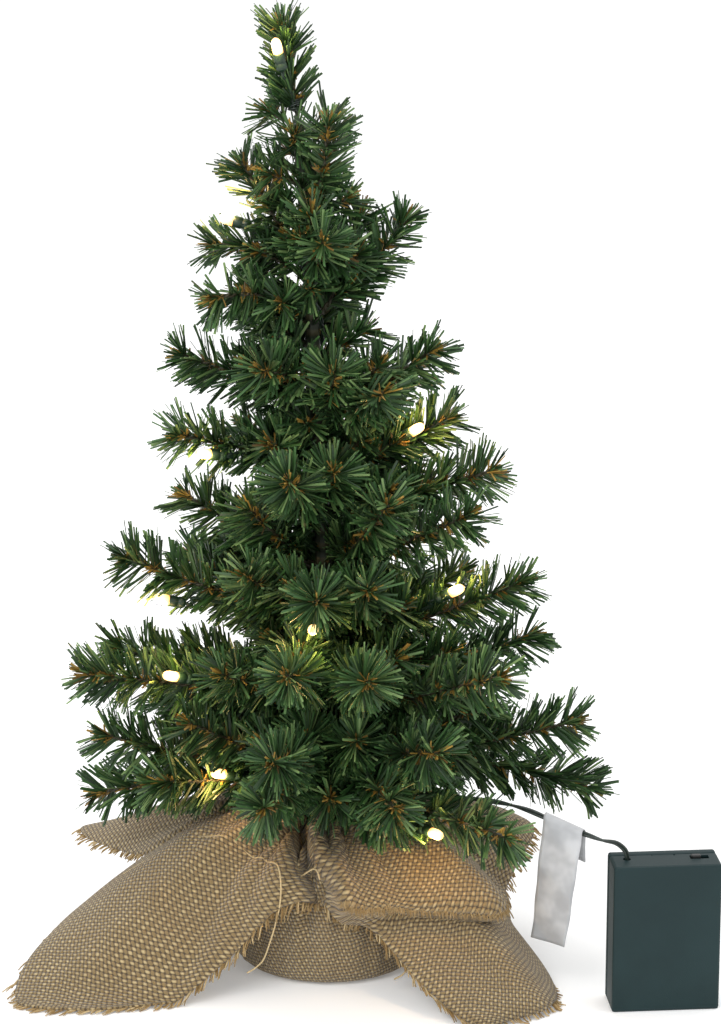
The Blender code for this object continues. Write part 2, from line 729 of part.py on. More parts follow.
def make_case(frame, group, cutters):
    half = BOX_WIDTH / 2
    seam = from_front(CASE_DEPTH) - GAP / 2
    case = block("battery_case", (-half, from_front(0), 0), (half, seam, BOX_HEIGHT))
    case.parent = frame
    round_edges(case, BOX_EDGE)
    inner = half - BOX_WALL
    hollow = block("case_hollow", (-inner, from_front(BOX_FRONT_WALL), BOX_WALL), (inner, seam + 0.01, BOX_HEIGHT - BOX_WALL))
    cut(case, hollow, cutters)
    slot_x = KNOB_LENGTH / 2 + KNOB_TRAVEL / 2 + 2 * GAP
    slot_y = KNOB_WIDTH / 2 + 2 * GAP
    slot = block(
        "knob_slot",
        (KNOB_OFFSET - slot_x, -slot_y, BOX_HEIGHT - 2 * BOX_WALL),
        (KNOB_OFFSET + slot_x, slot_y, BOX_HEIGHT + 0.002),
    )
    cut(case, slot, cutters)
    hole = rod("lead_hole", (HOLE_OFFSET, 0, BOX_HEIGHT), LEAD_RADIUS + 2 * GAP, 6 * BOX_WALL, sides=16)
    cut(case, hole, cutters)
    latch = block(
        "latch_notch",
        (-LATCH_WIDTH / 2 - 2 * GAP, seam - LATCH_REACH - GAP, BOX_HEIGHT - 2 * BOX_WALL),
        (LATCH_WIDTH / 2 + 2 * GAP, seam + 0.002, BOX_HEIGHT + 0.002),
    )
    cut(case, latch, cutters)
    finish(case, "box")
    place(case, group, frame)


def make_cover(frame, group, cutters):
    half = BOX_WIDTH / 2
    seam = from_front(CASE_DEPTH) + GAP / 2
    back = from_front(BOX_DEPTH)
    hinge = bpy.data.objects.new("cover_hinge", None)
    group.objects.link(hinge)
    hinge.parent = frame
    hinge.location = (0, back, 0)
    cover = block("battery_cover", (-half, seam - back, 0), (half, 0, BOX_HEIGHT))
    cover.parent = hinge
    round_edges(cover, BOX_EDGE)
    inner = half - BOX_WALL
    hollow = block("cover_hollow", (-inner, seam - back - 0.01, BOX_WALL), (inner, -BOX_WALL, BOX_HEIGHT - BOX_WALL))
    cut(cover, hollow, cutters)
    tongue = block(
        "latch_tongue",
        (-LATCH_WIDTH / 2, seam - back - LATCH_REACH, BOX_HEIGHT - 1.6 * BOX_WALL),
        (LATCH_WIDTH / 2, -BOX_WALL / 2, BOX_HEIGHT - 0.0005),
    )
    boolean(cover, tongue, "UNION")
    tongue.hide_render = True
    tongue.display_type = "WIRE"
    place(tongue, cutters, hinge)
    finish(cover, "box")
    place(cover, group, hinge)


def make_switch(frame, group):
    body_top = BOX_HEIGHT - BOX_WALL - 2 * GAP
    body_half = KNOB_LENGTH / 2 + KNOB_TRAVEL + 0.002
    body = block(
        "switch_body",
        (KNOB_OFFSET - body_half, -KNOB_WIDTH, body_top - 0.005),
        (min(KNOB_OFFSET + body_half, BOX_WIDTH / 2 - BOX_WALL - GAP), KNOB_WIDTH, body_top),
    )
    finish(body, "knob")
    place(body, group, frame)
    stand = bpy.data.objects.new("switch_track", None)
    group.objects.link(stand)
    stand.parent = frame
    stand.location = (KNOB_OFFSET - KNOB_TRAVEL / 2, 0, BOX_HEIGHT)
    foot = body_top + GAP - BOX_HEIGHT
    knob = block("switch_slider", (-KNOB_LENGTH / 2, -KNOB_WIDTH / 2, foot), (KNOB_LENGTH / 2, KNOB_WIDTH / 2, KNOB_RISE))
    round_edges(knob, 0.0004, 1)
    finish(knob, "knob")
    place(knob, group, stand)


def make_cells(frame, group):
    pitch = 2 * CELL_RADIUS + CELL_GAP
    button, button_rise = 0.0027, 0.0012
    for i in range(3):
        r, low, high = CELL_RADIUS, 0.0, CELL_LENGTH - button_rise
        profile = [(0, high + button_rise), (button, high + button_rise), (button, high), (r, high), (r, low), (0, low)]
        cell = turned(f"cell_{i + 1}", profile, 20)
        turn = Matrix.Identity(4)
        if i == 1:
            turn = Matrix.Translation((0, 0, CELL_LENGTH)) @ Matrix.Rotation(math.pi, 4, "X")
        at = Matrix.Translation(((i - 1) * pitch, from_front(CELL_CENTRE_Y), CELL_FLOOR))
        finish(cell, "cell")
        place(cell, group, frame)
        cell.matrix_local = at @ turn
    reach = pitch + 0.8 * CELL_RADIUS
    wide = 0.6 * CELL_RADIUS
    centre = from_front(CELL_CENTRE_Y)
    low = BOX_WALL + GAP
    high = CELL_FLOOR + CELL_LENGTH + CONTACT_ROOM - GAP
    for name, base in (("contact_bottom", low), ("contact_top", high - CONTACT)):
        strip = block(name, (-reach, centre - wide, base), (reach, centre + wide, base + CONTACT))
        finish(strip, "contact")
        place(strip, group, frame)


def make_box(group, cutters):
    frame = bpy.data.objects.new("battery_box", None)
    group.objects.link(frame)
    frame.location = BOX_PLACE
    frame.rotation_euler = (0, 0, math.radians(BOX_TURN))
    make_case(frame, group, cutters)
    make_cover(frame, group, cutters)
    make_switch(frame, group)
    make_cells(frame, group)


def main():
    clear_scene()
    group = new_collection("tabletop_tree")
    cutters = new_collection("cutters")
    make_weight(group)
    make_burlap(group)
    make_tie(group)
    make_trunk(group)
    made = make_crown(group, cutters)
    for name, carrier, tip, at, turn in LAMPS:
        make_lamp(name, carrier, tip, at, turn, group, made)
    make_string(group)
    make_lead(group)
    make_tag(group)
    make_box(group, cutters)


main()
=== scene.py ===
# %% [markdown]
# # A small artificial tree with a burlap foot, ten lamps and a battery box
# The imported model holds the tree's solids: a trunk, thirty-three bendable branches, a wrapped weight,
# the lamps and the battery box. This lesson dresses that frame: real needles in place of smooth brushes,
# woven burlap with frayed edges, twin wires, glowing lamps, and moulded plastic for the box.
# Everything is in metres, with the origin under the trunk and the front facing minus Y.

# %% Load the frame
import json
import math

import bpy
import numpy as np
from mathutils import Matrix, Vector
from mathutils.bvhtree import BVHTree

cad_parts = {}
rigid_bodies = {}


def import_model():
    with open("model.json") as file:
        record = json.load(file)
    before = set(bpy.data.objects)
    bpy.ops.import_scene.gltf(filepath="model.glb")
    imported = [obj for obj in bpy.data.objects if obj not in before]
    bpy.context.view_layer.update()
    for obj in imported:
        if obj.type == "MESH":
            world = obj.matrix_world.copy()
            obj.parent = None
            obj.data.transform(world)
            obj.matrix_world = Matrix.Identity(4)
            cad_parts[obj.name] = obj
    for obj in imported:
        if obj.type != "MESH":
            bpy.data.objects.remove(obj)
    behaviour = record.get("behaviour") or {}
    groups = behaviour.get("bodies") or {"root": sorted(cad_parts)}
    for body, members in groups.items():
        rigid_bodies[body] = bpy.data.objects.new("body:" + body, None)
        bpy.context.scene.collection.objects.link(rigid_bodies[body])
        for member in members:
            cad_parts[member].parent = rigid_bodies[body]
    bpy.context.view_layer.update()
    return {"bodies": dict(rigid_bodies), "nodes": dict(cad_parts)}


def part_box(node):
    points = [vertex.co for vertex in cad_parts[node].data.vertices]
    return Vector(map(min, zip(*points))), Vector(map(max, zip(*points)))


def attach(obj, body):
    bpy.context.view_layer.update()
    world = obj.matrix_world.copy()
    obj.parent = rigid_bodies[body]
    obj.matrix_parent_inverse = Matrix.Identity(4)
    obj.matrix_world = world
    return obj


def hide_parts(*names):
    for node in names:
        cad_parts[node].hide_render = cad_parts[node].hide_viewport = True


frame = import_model()
MM = 0.001
UP = Vector((0, 0, 1))

# %% [markdown]
# ## The camera
# A long lens from a little way off keeps the tree's upright lines upright. The camera looks down by
# fifteen degrees, so that the burlap on the table shows from above and the box shows its top.

# %% Camera
CAMERA_DISTANCE = 1.62
CAMERA_TILT = 15.0
VIEW_HEIGHT = 0.4608          # how much of the upright the picture takes in at the tree
AIM = Vector((0.0148, 0.0, 0.2120))
SENSOR = 36.0

tilt = math.radians(CAMERA_TILT)
camera_data = bpy.data.cameras.new("camera")
camera_data.sensor_width = SENSOR
camera_data.lens = SENSOR * CAMERA_DISTANCE / VIEW_HEIGHT
camera = bpy.data.objects.new("camera", camera_data)
camera.location = AIM + Vector((0, -math.cos(tilt), math.sin(tilt))) * CAMERA_DISTANCE
camera.rotation_euler = (math.radians(90) - tilt, 0, 0)
bpy.context.scene.collection.objects.link(camera)
bpy.context.scene.camera = camera
print("lens:", round(camera_data.lens, 1), "mm")

# %% [markdown]
# ## Writing finishes as sums
# A finish is a small network of nodes. To keep each one readable, a socket is wrapped in a class whose
# ordinary operators add the Math nodes, and every other node comes from one method.

# %% Helpers for finishes
class Number:
    """A socket that holds a number, and can be used in ordinary sums."""

    def __init__(self, finish, socket):
        self.finish, self.socket = finish, socket

    def maths(self, operation, *others):
        sockets = {str(i): other for i, other in enumerate(others, 1)}
        made = self.finish.node("ShaderNodeMath", {"operation": operation}, {"0": self, **sockets})
        return Number(self.finish, made.outputs[0])

    def __add__(self, other):
        return self.maths("ADD", other)

    def __mul__(self, other):
        return self.maths("MULTIPLY", other)

    def __sub__(self, other):
        return self.maths("SUBTRACT", other)

    def __rsub__(self, other):
        return (self * -1.0) + other

    def __truediv__(self, other):
        return self.maths("DIVIDE", other)

    def __pow__(self, other):
        return self.maths("POWER", other)

    __radd__, __rmul__ = __add__, __mul__

    def clear(self, low, high):
        """0 below low, 1 above high, and smooth between."""
        made = self.finish.node(
            "ShaderNodeMapRange",
            {"interpolation_type": "SMOOTHSTEP", "clamp": True},
            {"Value": self, "From Min": low, "From Max": high},
        )
        return Number(self.finish, made.outputs["Result"])


class Finish:
    """A material, with short ways to add nodes to it."""

    def __init__(self, name, **fixed):
        self.material = bpy.data.materials.new(name)
        self.material.use_nodes = True
        self.tree = self.material.node_tree
        self.shader = self.tree.nodes["Principled BSDF"]
        for socket, value in fixed.items():
            self.shader.inputs[socket.replace("_", " ")].default_value = value

    def join(self, socket, value):
        if isinstance(value, Number):
            value = value.socket
        if isinstance(value, bpy.types.NodeSocket):
            self.tree.links.new(value, socket)
        elif hasattr(value, "__len__") and len(value) == 3 and socket.type == "RGBA":
            socket.default_value = (*value, 1.0)
        else:
            socket.default_value = value

    def node(self, kind, settings=None, sockets=None):
        """Any node: its settings are set first, and then its sockets are filled or joined."""
        made = self.tree.nodes.new(kind)
        for key, value in (settings or {}).items():
            if key == "stops":
                for spare in list(made.color_ramp.elements)[1:]:
                    made.color_ramp.elements.remove(spare)
                for i, (place, colour) in enumerate(value):
                    stop = made.color_ramp.elements[0] if i == 0 else made.color_ramp.elements.new(place)
                    stop.position, stop.color = place, (*colour, 1.0)
            else:
                setattr(made, key, value)
        for key, value in (sockets or {}).items():
            self.join(made.inputs[int(key)] if key.isdigit() else made.inputs[key], value)
        return made

    def mark(self, name):
        """A number that the mesh itself carries at each point."""
        return Number(self, self.node("ShaderNodeAttribute", {"attribute_name": name}).outputs["Fac"])

    def place(self):
        return self.node("ShaderNodeTexCoord").outputs["Object"]

    def height(self):
        """The height of each point in its piece's own frame."""
        return Number(self, self.node("ShaderNodeSeparateXYZ", {}, {"Vector": self.place()}).outputs["Z"])

    def noise(self, scale, detail=3.0, rough=0.55, at=None):
        made = self.node(
            "ShaderNodeTexNoise", {},
            {"Vector": at or self.place(), "Scale": scale, "Detail": detail, "Roughness": rough},
        )
        return Number(self, made.outputs["Fac"])

    def mix(self, share, first, second, way="MIX"):
        """Two colours mixed: all first at 0, all second at 1."""
        made = self.node("ShaderNodeMix", {"data_type": "RGBA", "blend_type": way})
        self.join(made.inputs[0], share)
        self.join(made.inputs[6], first)
        self.join(made.inputs[7], second)
        return made.outputs[2]

    def paint(self, **sockets):
        for socket, value in sockets.items():
            self.join(self.shader.inputs[socket.replace("_", " ")], value)
        return self

    def bump(self, height, distance, strength=1.0):
        made = self.node("ShaderNodeBump", {}, {"Strength": strength, "Distance": distance, "Height": height})
        self.join(self.shader.inputs["Normal"], made.outputs["Normal"])
        return self


def rgb(red, green, blue):
    """A colour as it looks on paper, 0 to 255, turned into the linear numbers that light is worked out in."""
    return tuple(((c / 255 + 0.055) / 1.055) ** 2.4 if c > 10 else c / 255 / 12.92 for c in (red, green, blue))


print("helpers ready")

# %% [markdown]
# ## Building meshes quickly
# The tree has many thousands of needles, so meshes are built as whole arrays of points and triangles.
# Each small part keeps a patch of its own in the UV map, for the finish to be baked onto later.

# %% Helpers for meshes
def add_mesh(name, points, triangles, marks=None, uv=None, smooth=False):
    """A new object from arrays of points and triangles. marks are numbers kept at each point."""
    mesh = bpy.data.meshes.new(name)
    points, triangles = np.asarray(points, np.float32), np.asarray(triangles, np.int32)
    mesh.vertices.add(len(points))
    mesh.vertices.foreach_set("co", points.ravel())
    mesh.loops.add(triangles.size)
    mesh.loops.foreach_set("vertex_index", triangles.ravel())
    mesh.polygons.add(len(triangles))
    mesh.polygons.foreach_set("loop_start", np.arange(0, triangles.size, 3, dtype=np.int32))
    mesh.polygons.foreach_set("use_smooth", np.full(len(triangles), smooth))
    for mark, values in (marks or {}).items():
        mesh.attributes.new(mark, "FLOAT", "POINT").data.foreach_set("value", np.asarray(values, np.float32))
    if uv is not None:
        mesh.uv_layers.new(name="OFBake").data.foreach_set("uv", np.asarray(uv, np.float32).ravel())
    mesh.update(calc_edges=True)
    mesh.validate()
    made = bpy.data.objects.new(name, mesh)
    bpy.context.scene.collection.objects.link(made)
    return made


def wear(piece, finish):
    """Gives a piece its finish."""
    piece.data.materials.clear()
    piece.data.materials.append(finish.material)
    return piece


def length_of(rows):
    return np.maximum(np.linalg.norm(rows, axis=-1, keepdims=True), 1e-12)


def tube_rings(path, radii, sides):
    """Points, triangles and UVs of a closed tube along a path, carried without twist."""
    path = np.asarray(path, float)
    radii = np.broadcast_to(np.asarray(radii, float), len(path))
    along = np.gradient(path, axis=0)
    along /= length_of(along)
    side = np.cross(along[0], (0, 0, 1.0) if abs(along[0][2]) < 0.9 else (1.0, 0, 0))
    sides_at = []
    for step in along:
        side = side - step * (side @ step)
        side /= length_of(side)
        sides_at.append(side)
    sides_at = np.array(sides_at)
    other = np.cross(along, sides_at)
    turn = np.linspace(0, 2 * math.pi, sides, endpoint=False)
    ring = sides_at[:, None] * np.cos(turn)[None, :, None] + other[:, None] * np.sin(turn)[None, :, None]
    points = (path[:, None] + ring * radii[:, None, None]).reshape(-1, 3)
    rows = len(path)
    i, k = (g.ravel() for g in np.meshgrid(np.arange(rows - 1), np.arange(sides), indexing="ij"))
    n = (k + 1) % sides
    a, b, c, d = i * sides + k, i * sides + n, (i + 1) * sides + n, (i + 1) * sides + k
    triangles = np.concatenate([np.stack([a, b, c], 1), np.stack([a, c, d], 1)])
    u0, u1, v0, v1 = k / sides, (k + 1) / sides, i / (rows - 1), (i + 1) / (rows - 1)
    uv = np.concatenate([
        np.stack([u0, v0, u1, v0, u1, v1], 1),
        np.stack([u0, v0, u1, v1, u0, v1], 1),
    ]).reshape(-1, 3, 2)
    ends = []
    for centre, base, flip in ((path[0], 0, True), (path[-1], (rows - 1) * sides, False)):
        middle = len(points)
        points = np.vstack([points, centre])
        fan = np.stack([base + np.arange(sides), base + (np.arange(sides) + 1) % sides, np.full(sides, middle)], 1)
        ends.append(fan[:, ::-1] if flip else fan)
        corner = np.arange(sides) / sides
        edge = 0.0 if flip else 1.0
        level = np.full(sides, edge)
        flat = np.stack([corner, level, corner + 1 / sides, level, corner, level], 1)
        uv = np.concatenate([uv, flat.reshape(-1, 3, 2)])
    return points, np.concatenate([triangles, *ends]), uv


def cells(count):
    """Corners and size of a square grid of patches, one for each part."""
    side = math.ceil(math.sqrt(max(count, 1)))
    index = np.arange(count)
    return np.stack([index % side, index // side], 1) / side, 1 / side


def join_parts(parts):
    """Several (points, triangles, uv, marks) as one, each in a patch of the UV map of its own."""
    corners, size = cells(len(parts))
    points, triangles, uvs, marks, done = [], [], [], {}, 0
    for (p, t, uv, m), corner in zip(parts, corners):
        points.append(p)
        triangles.append(t + done)
        uvs.append(corner + (0.04 + 0.92 * uv) * size)
        for key, value in m.items():
            marks.setdefault(key, []).append(np.broadcast_to(np.asarray(value, float), len(p)))
        done += len(p)
    return (
        np.concatenate(points),
        np.concatenate(triangles),
        {key: np.concatenate(value) for key, value in marks.items()},
        np.concatenate(uvs),
    )


def smooth_route(points, step):
    """Even points along the smooth curve (a Catmull-Rom spline) through a route's own points."""
    points = [Vector(p) for p in points]
    ends = [points[0] * 2 - points[1], *points, points[-1] * 2 - points[-2]]
    fine = []
    for a, b, c, d in zip(ends, ends[1:], ends[2:], ends[3:]):
        for i in range(20):
            t = i / 20
            square = (a * 2 - b * 5 + c * 4 - d) * t * t
            fine.append((b * 2 + (c - a) * t + square + (b * 3 - a - c * 3 + d) * t**3) / 2)
    fine.append(points[-1])
    fine = np.array(fine)
    gone = np.concatenate([[0], np.cumsum(np.linalg.norm(np.diff(fine, axis=0), axis=1))])
    even = np.linspace(0, gone[-1], max(2, round(gone[-1] / step)) + 1)
    return np.stack([np.interp(even, gone, fine[:, k]) for k in range(3)], 1)


def twin(path, radius, apart, turns=0.0, start=0.0):
    """Two wires side by side along a path, as two parts that turn about each other."""
    path = np.asarray(path, float)
    along = np.gradient(path, axis=0)
    along /= length_of(along)
    side = np.cross(along, (0, 0, 1.0))
    side /= length_of(side)
    over = np.cross(side, along)
    angle = start + 2 * math.pi * turns * np.linspace(0, 1, len(path))
    off = side * np.cos(angle)[:, None] + over * np.sin(angle)[:, None]
    return [tube_rings(path + off * apart * sign, radius, 6) for sign in (-1, 1)]


print("mesh helpers ready")

# %% [markdown]
# ## The lead
# The lead is a pair of thin wires that leaves the foot of the tree, sags a little over the burlap, passes
# through the folded tag and drops into the top of the battery box. It is the only free cord.

# %% Sizes that the pieces share
GAP = 0.0003
CLOTH = 0.0016
CLOTH_EASE = 0.0022
WEIGHT_RADIUS = 0.0405
WEIGHT_HEIGHT = 0.047
WEIGHT_CHAMFER = 0.004
WEIGHT_TOP = CLOTH + GAP + WEIGHT_HEIGHT
NECK_RADIUS = 0.014
NECK = WEIGHT_TOP + 0.011
LEAD_RADIUS = 0.0012
BOX_PLACE = Vector((0.150, -0.0595, 0.0))
BOX_TURN = math.radians(5.0)
box_matrix = Matrix.Translation(BOX_PLACE) @ Matrix.Rotation(BOX_TURN, 4, "Z")
box_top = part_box("battery_case")[1].z
hole = box_matrix @ Vector((-0.0170, 0, box_top))
LEAD_ROUTE = (
    (0.0022, -0.0056, 0.0724),
    (0.0100, -0.0066, 0.0745),
    (0.0190, -0.0086, 0.0790),
    (0.0290, -0.0126, 0.0830),
    (0.0400, -0.0182, 0.0852),
    (0.0530, -0.0250, 0.0861),
    (0.0660, -0.0316, 0.0866),
    (0.0780, -0.0374, 0.0868),
    (0.0890, -0.0430, 0.0856),
    (0.0990, -0.0480, 0.0828),
    (0.1080, -0.0520, 0.0798),
    (0.1160, -0.0551, 0.0779),
)
LEAD_DROP = ((-0.0110, 0.0030, 0.0078), (-0.0050, 0.0012, 0.0072), (-0.0012, 0.0003, 0.0045), (0, 0, 0.0012))
LEAD_INSIDE = 0.0052          # how far the lead goes down into the box
lead_route = [Vector(p) for p in LEAD_ROUTE] + [hole + Vector(p) for p in LEAD_DROP]
lead_route.append(hole - Vector((0, 0, LEAD_INSIDE)))
lead_path = smooth_route(lead_route, 0.0012)

# %% Lead
wire_finish = Finish("green_wire", Base_Color=(*rgb(22, 34, 28), 1), Roughness=0.38)
grain = wire_finish.noise(900.0)
wire_finish.paint(Base_Color=wire_finish.mix(grain.clear(0.3, 0.8), rgb(16, 26, 22), rgb(34, 50, 42)))
wire_finish.bump(grain, 0.00004)
strands = [(*part, {}) for part in twin(lead_path, 0.00062, 0.00060, 3.5, 0.2)]
lead = add_mesh("lead_wires", *join_parts(strands)[:2], smooth=True)
wear(lead, wire_finish)
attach(lead, "root")
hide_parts("lead_cord")
print("strands in the lead:", len(strands))

# %% [markdown]
# ## The branches' lines
# Each branch is a twisted wire bent out of the trunk. Its line is a gentle curve from the trunk to the
# tip, the same one that the frame's solids follow, so that needles, lamps and wires all agree.

# %% Trunk and branch lines
TRUNK_RISE = 0.328
TRUNK_FOOT_RADIUS = 0.0042
TRUNK_TOP_RADIUS = 0.0026
TRUNK_LEAN = 0.0125
STEM_RADIUS = 0.0015
ROOT_GAP = 0.0005
BRUSH_RADIUS = 0.0070

# name, root height in percent of the trunk, tips: (angle round the trunk, reach mm, rise degrees, bow mm)
BRANCHES = (
    ("left_foot", 8, ((187, 112, 14, -2), (174, 117, -7, 4))),
    ("right_foot", 9.5, ((-5, 122, 13, -2), (11, 134, -10, 9))),
    ("front_foot", 11.5, ((256, 106, 16, 0), (252, 100, 1, 4))),
    ("right_low_front", 6, ((-44, 120, 2, 3),)),
    ("front_right_foot", 12, ((303, 100, 15, 0), (291, 94, -2, 4))),
    ("back_right_foot", 8, ((45, 104, 6, 2), (72, 100, 14, 0))),
    ("back_left_foot", 10.5, ((112, 103, 12, 0), (143, 108, 5, 3))),
    ("left_lower", 19.5, ((170, 108, 12, -3), (196, 122, 11, 0))),
    ("right_lower_front", 17.5, ((-36, 104, 20, 0),)),
    ("right_lower", 20.5, ((8, 104, 15, -4),)),
    ("front_lower", 23, ((259, 96, 17, 0), (283, 94, 15, 0))),
    ("back_lower", 22, ((62, 96, 18, 0), (100, 98, 13, 0))),
    ("back_left_lower", 26, ((138, 96, 20, 0),)),
    ("left_middle", 31.5, ((190, 100, 20, -2),)),
    ("right_middle", 28, ((21, 76, 21, 0), (-7, 99, 20, -3))),
    ("front_middle", 33, ((268, 85, 18, 0),)),
    ("back_middle", 35, ((80, 86, 21, 0), (118, 80, 16, 0))),
    ("left_middle_back", 38.5, ((173, 71, 27, 0),)),
    ("right_middle_front", 38, ((-31, 84, 26, 0),)),
    ("right_upper_long", 46, ((-9, 86, 17, 0),)),
    ("front_upper_long", 47.5, ((256, 66, 24, 0),)),
    ("right_upper_back", 50.5, ((12, 68, 25, 0),)),
    ("left_upper_front", 54, ((201, 76, 14, 0),)),
    ("back_upper", 51, ((58, 68, 25, 0), (105, 66, 20, 0))),
    ("right_upper", 59, ((-16, 61, 35, 0), (310, 55, 26, 0))),
    ("left_upper", 62.5, ((183, 69, 19, 0),)),
    ("front_upper", 64.5, ((232, 47, 17, 2),)),
    ("back_top", 68, ((74, 48, 30, 0), (128, 52, 24, 0))),
    ("right_top", 74, ((14, 48, 46, -3),)),
    ("left_top_front", 75.5, ((214, 61, 6, 5),)),
    ("front_top", 80.5, ((282, 44, 28, 0), (274, 30, 50, 0))),
    ("left_top", 82, ((169, 53, 3, 2),)),
    ("crown_front", 88, ((300, 21, 68, -5),)),
)


def around(angle):
    return Vector((math.cos(math.radians(angle)), math.sin(math.radians(angle)), 0.0))


def trunk_centre(share):
    return Vector((-TRUNK_LEAN * max(share, 0.0) ** 2, 0.0, NECK + share * TRUNK_RISE))


def trunk_radius(share):
    return TRUNK_FOOT_RADIUS + (TRUNK_TOP_RADIUS - TRUNK_FOOT_RADIUS) * min(max(share, 0.0), 1.0)


def branch_root(percent, tips):
    whole = sum((around(tip[0]) for tip in tips), Vector((0, 0, 0))).normalized()
    return trunk_centre(percent / 100) + whole * (trunk_radius(percent / 100) + ROOT_GAP + STEM_RADIUS)


def tip_end(percent, tip):
    reach = tip[1] * MM
    return trunk_centre(percent / 100) + around(tip[0]) * reach + UP * reach * math.tan(math.radians(tip[2]))


def bent(start, end, bow, places):
    """Points on the gentle curve from start to end, whose middle is lifted by the bow."""
    start, end = Vector(start), Vector(end)
    across = Vector(((end - start).y, -(end - start).x, 0.0))
    lift = across.cross(end - start).normalized() if across.length > 1e-6 else Vector((1, 0, 0))
    middle = (start + end) / 2 + lift * 2 * bow
    t = np.asarray(places, float)[..., None]
    return np.array(start) * (1 - t) ** 2 + np.array(middle) * 2 * t * (1 - t) + np.array(end) * t * t


leader_foot = trunk_centre(1.0) + UP * (0.0006 + STEM_RADIUS)
leader_top = leader_foot + Vector((-0.0085, 0, 0.0520 - STEM_RADIUS - 0.0006))
LINES = {
    name: [(branch_root(percent, tips), tip_end(percent, tip), tip[3] * MM) for tip in tips]
    for name, percent, tips in BRANCHES
}
LINES["leader"] = [(leader_foot, leader_top, 0.0)]
print("tips:", sum(len(lines) for lines in LINES.values()))

# %% Where the lamps sit
# lamp, branch, tip number, place along it, angle round the brush (0 above, 90 to its left)
LAMPS = (
    ("lamp_01", "leader", 0, 0.42, 105),
    ("lamp_02", "left_top", 0, 0.40, 15),
    ("lamp_03", "left_upper_front", 0, 0.56, 110),
    ("lamp_04", "right_upper_back", 0, 0.44, -60),
    ("lamp_05", "left_middle", 0, 0.56, 150),
    ("lamp_06", "right_middle", 1, 0.48, -40),
    ("lamp_07", "front_middle", 0, 0.58, -170),
    ("lamp_08", "left_lower", 1, 0.50, 60),
    ("lamp_09", "left_foot", 0, 0.30, 100),
    ("lamp_10", "right_low_front", 0, 0.52, -110),
)
HOLDER_RADIUS, HOLDER_LENGTH = 0.0026, 0.010
LENS_RADIUS, LENS_LENGTH = 0.0023, 0.007


def brush_side(line, t, turn):
    """A direction square to a brush at place t, and the brush's own direction there."""
    ahead = Vector(bent(*line, min(t + 0.02, 1.0)) - bent(*line, t - 0.02)).normalized()
    left = UP.cross(ahead).normalized()
    over = ahead.cross(left)
    angle = math.radians(turn)
    return over * math.cos(angle) + left * math.sin(angle), ahead


SEATS, CLEARINGS = {}, []
for name, carrier, tip, at, turn in LAMPS:
    line = LINES[carrier][tip]
    side, ahead = brush_side(line, at, turn)
    seat = Vector(bent(*line, at)) + side * (BRUSH_RADIUS + HOLDER_RADIUS + 2 * GAP)
    lean = (ahead + side * 0.15).normalized()
    SEATS[name] = (carrier, line, at, turn, seat, lean, side, ahead)
    middle = seat + lean * (HOLDER_LENGTH + 0.4 * LENS_LENGTH)
    CLEARINGS.append((np.array(middle), np.array(middle + side * 0.016 + Vector((0, -0.006, 0)))))
    print(name, "on", carrier, "at", [round(x, 3) for x in middle])

# %% [markdown]
# ## Needles
# Real needles are strips cut from thin PVC film and caught between two wires that are twisted together,
# like a bottle brush. So each needle here is a thin strip with a crease, rooted on the wire and leaning
# towards the tip. Short brown strips are mixed in near the wire, as on the real brush.

# %% Needle maker
NEEDLE_WIDTH = 0.00105
NEEDLE_THICK = 0.00022
BUNCH = 6                     # needles side by side in one bunch
TIP_NEEDLES = 0.0095          # how far the last needles reach past the end of the wire

# One strip: three stations of three corners each, and a cap at each end.
STRIP = []
for station in range(2):
    for corner in range(3):
        a, b = station * 3 + corner, station * 3 + (corner + 1) % 3
        STRIP += [(a, b, b + 3), (a, b + 3, a + 3)]
STRIP += [(2, 1, 0), (6, 7, 8)]
STRIP = np.array(STRIP)
STRIP_UV = []
for station in range(2):
    for corner in range(3):
        u, w, v = corner / 3, (corner + 1) / 3, station / 2
        STRIP_UV += [((u, v), (w, v), (w, v + 0.5)), ((u, v), (w, v + 0.5), (u, v + 0.5))]
STRIP_UV += [((0.6, 0.0), (0.4, 0.0), (0.5, 0.02)), ((0.4, 1.0), (0.6, 1.0), (0.5, 0.98))]
STRIP_UV = np.array(STRIP_UV)


def strips(roots, direction, length, width, curl, chance):
    """Many needles at once: their points and triangles."""
    count = len(roots)
    length, width = length[:, None], width[:, None]
    flat = np.cross(direction, chance.normal(size=(count, 3)))
    flat /= length_of(flat)
    ridge = np.cross(direction, flat)
    points = np.empty((count, 3, 3, 3))
    for station, (share, narrow) in enumerate(((0.0, 0.8), (0.5, 1.0), (1.0, 0.90))):
        centre = roots + direction * length * share + curl * length * share * share
        half = width * narrow / 2
        points[:, station, 0] = centre - flat * half
        points[:, station, 1] = centre + flat * half
        points[:, station, 2] = centre + ridge * NEEDLE_THICK
    base = (np.arange(count) * 9)[:, None, None]
    return points.reshape(-1, 3), (STRIP[None] + base).reshape(-1, 3)


def bunches(count, long, from_t, chance):
    """Places along the wire and turns round it for needles that come in bunches cut side by side."""
    groups = max(1, count // BUNCH)
    middle = from_t + (1 - from_t) * (np.arange(groups) + chance.random(groups)) / groups
    t = np.repeat(middle, BUNCH) + chance.normal(0, 0.0007, groups * BUNCH) / long
    turn = np.repeat(chance.uniform(0, 2 * math.pi, groups), BUNCH) + chance.normal(0, 0.17, groups * BUNCH)
    tilt = np.repeat(chance.normal(0, 8.0, groups), BUNCH) + chance.normal(0, 3.0, groups * BUNCH)
    return t, turn, tilt


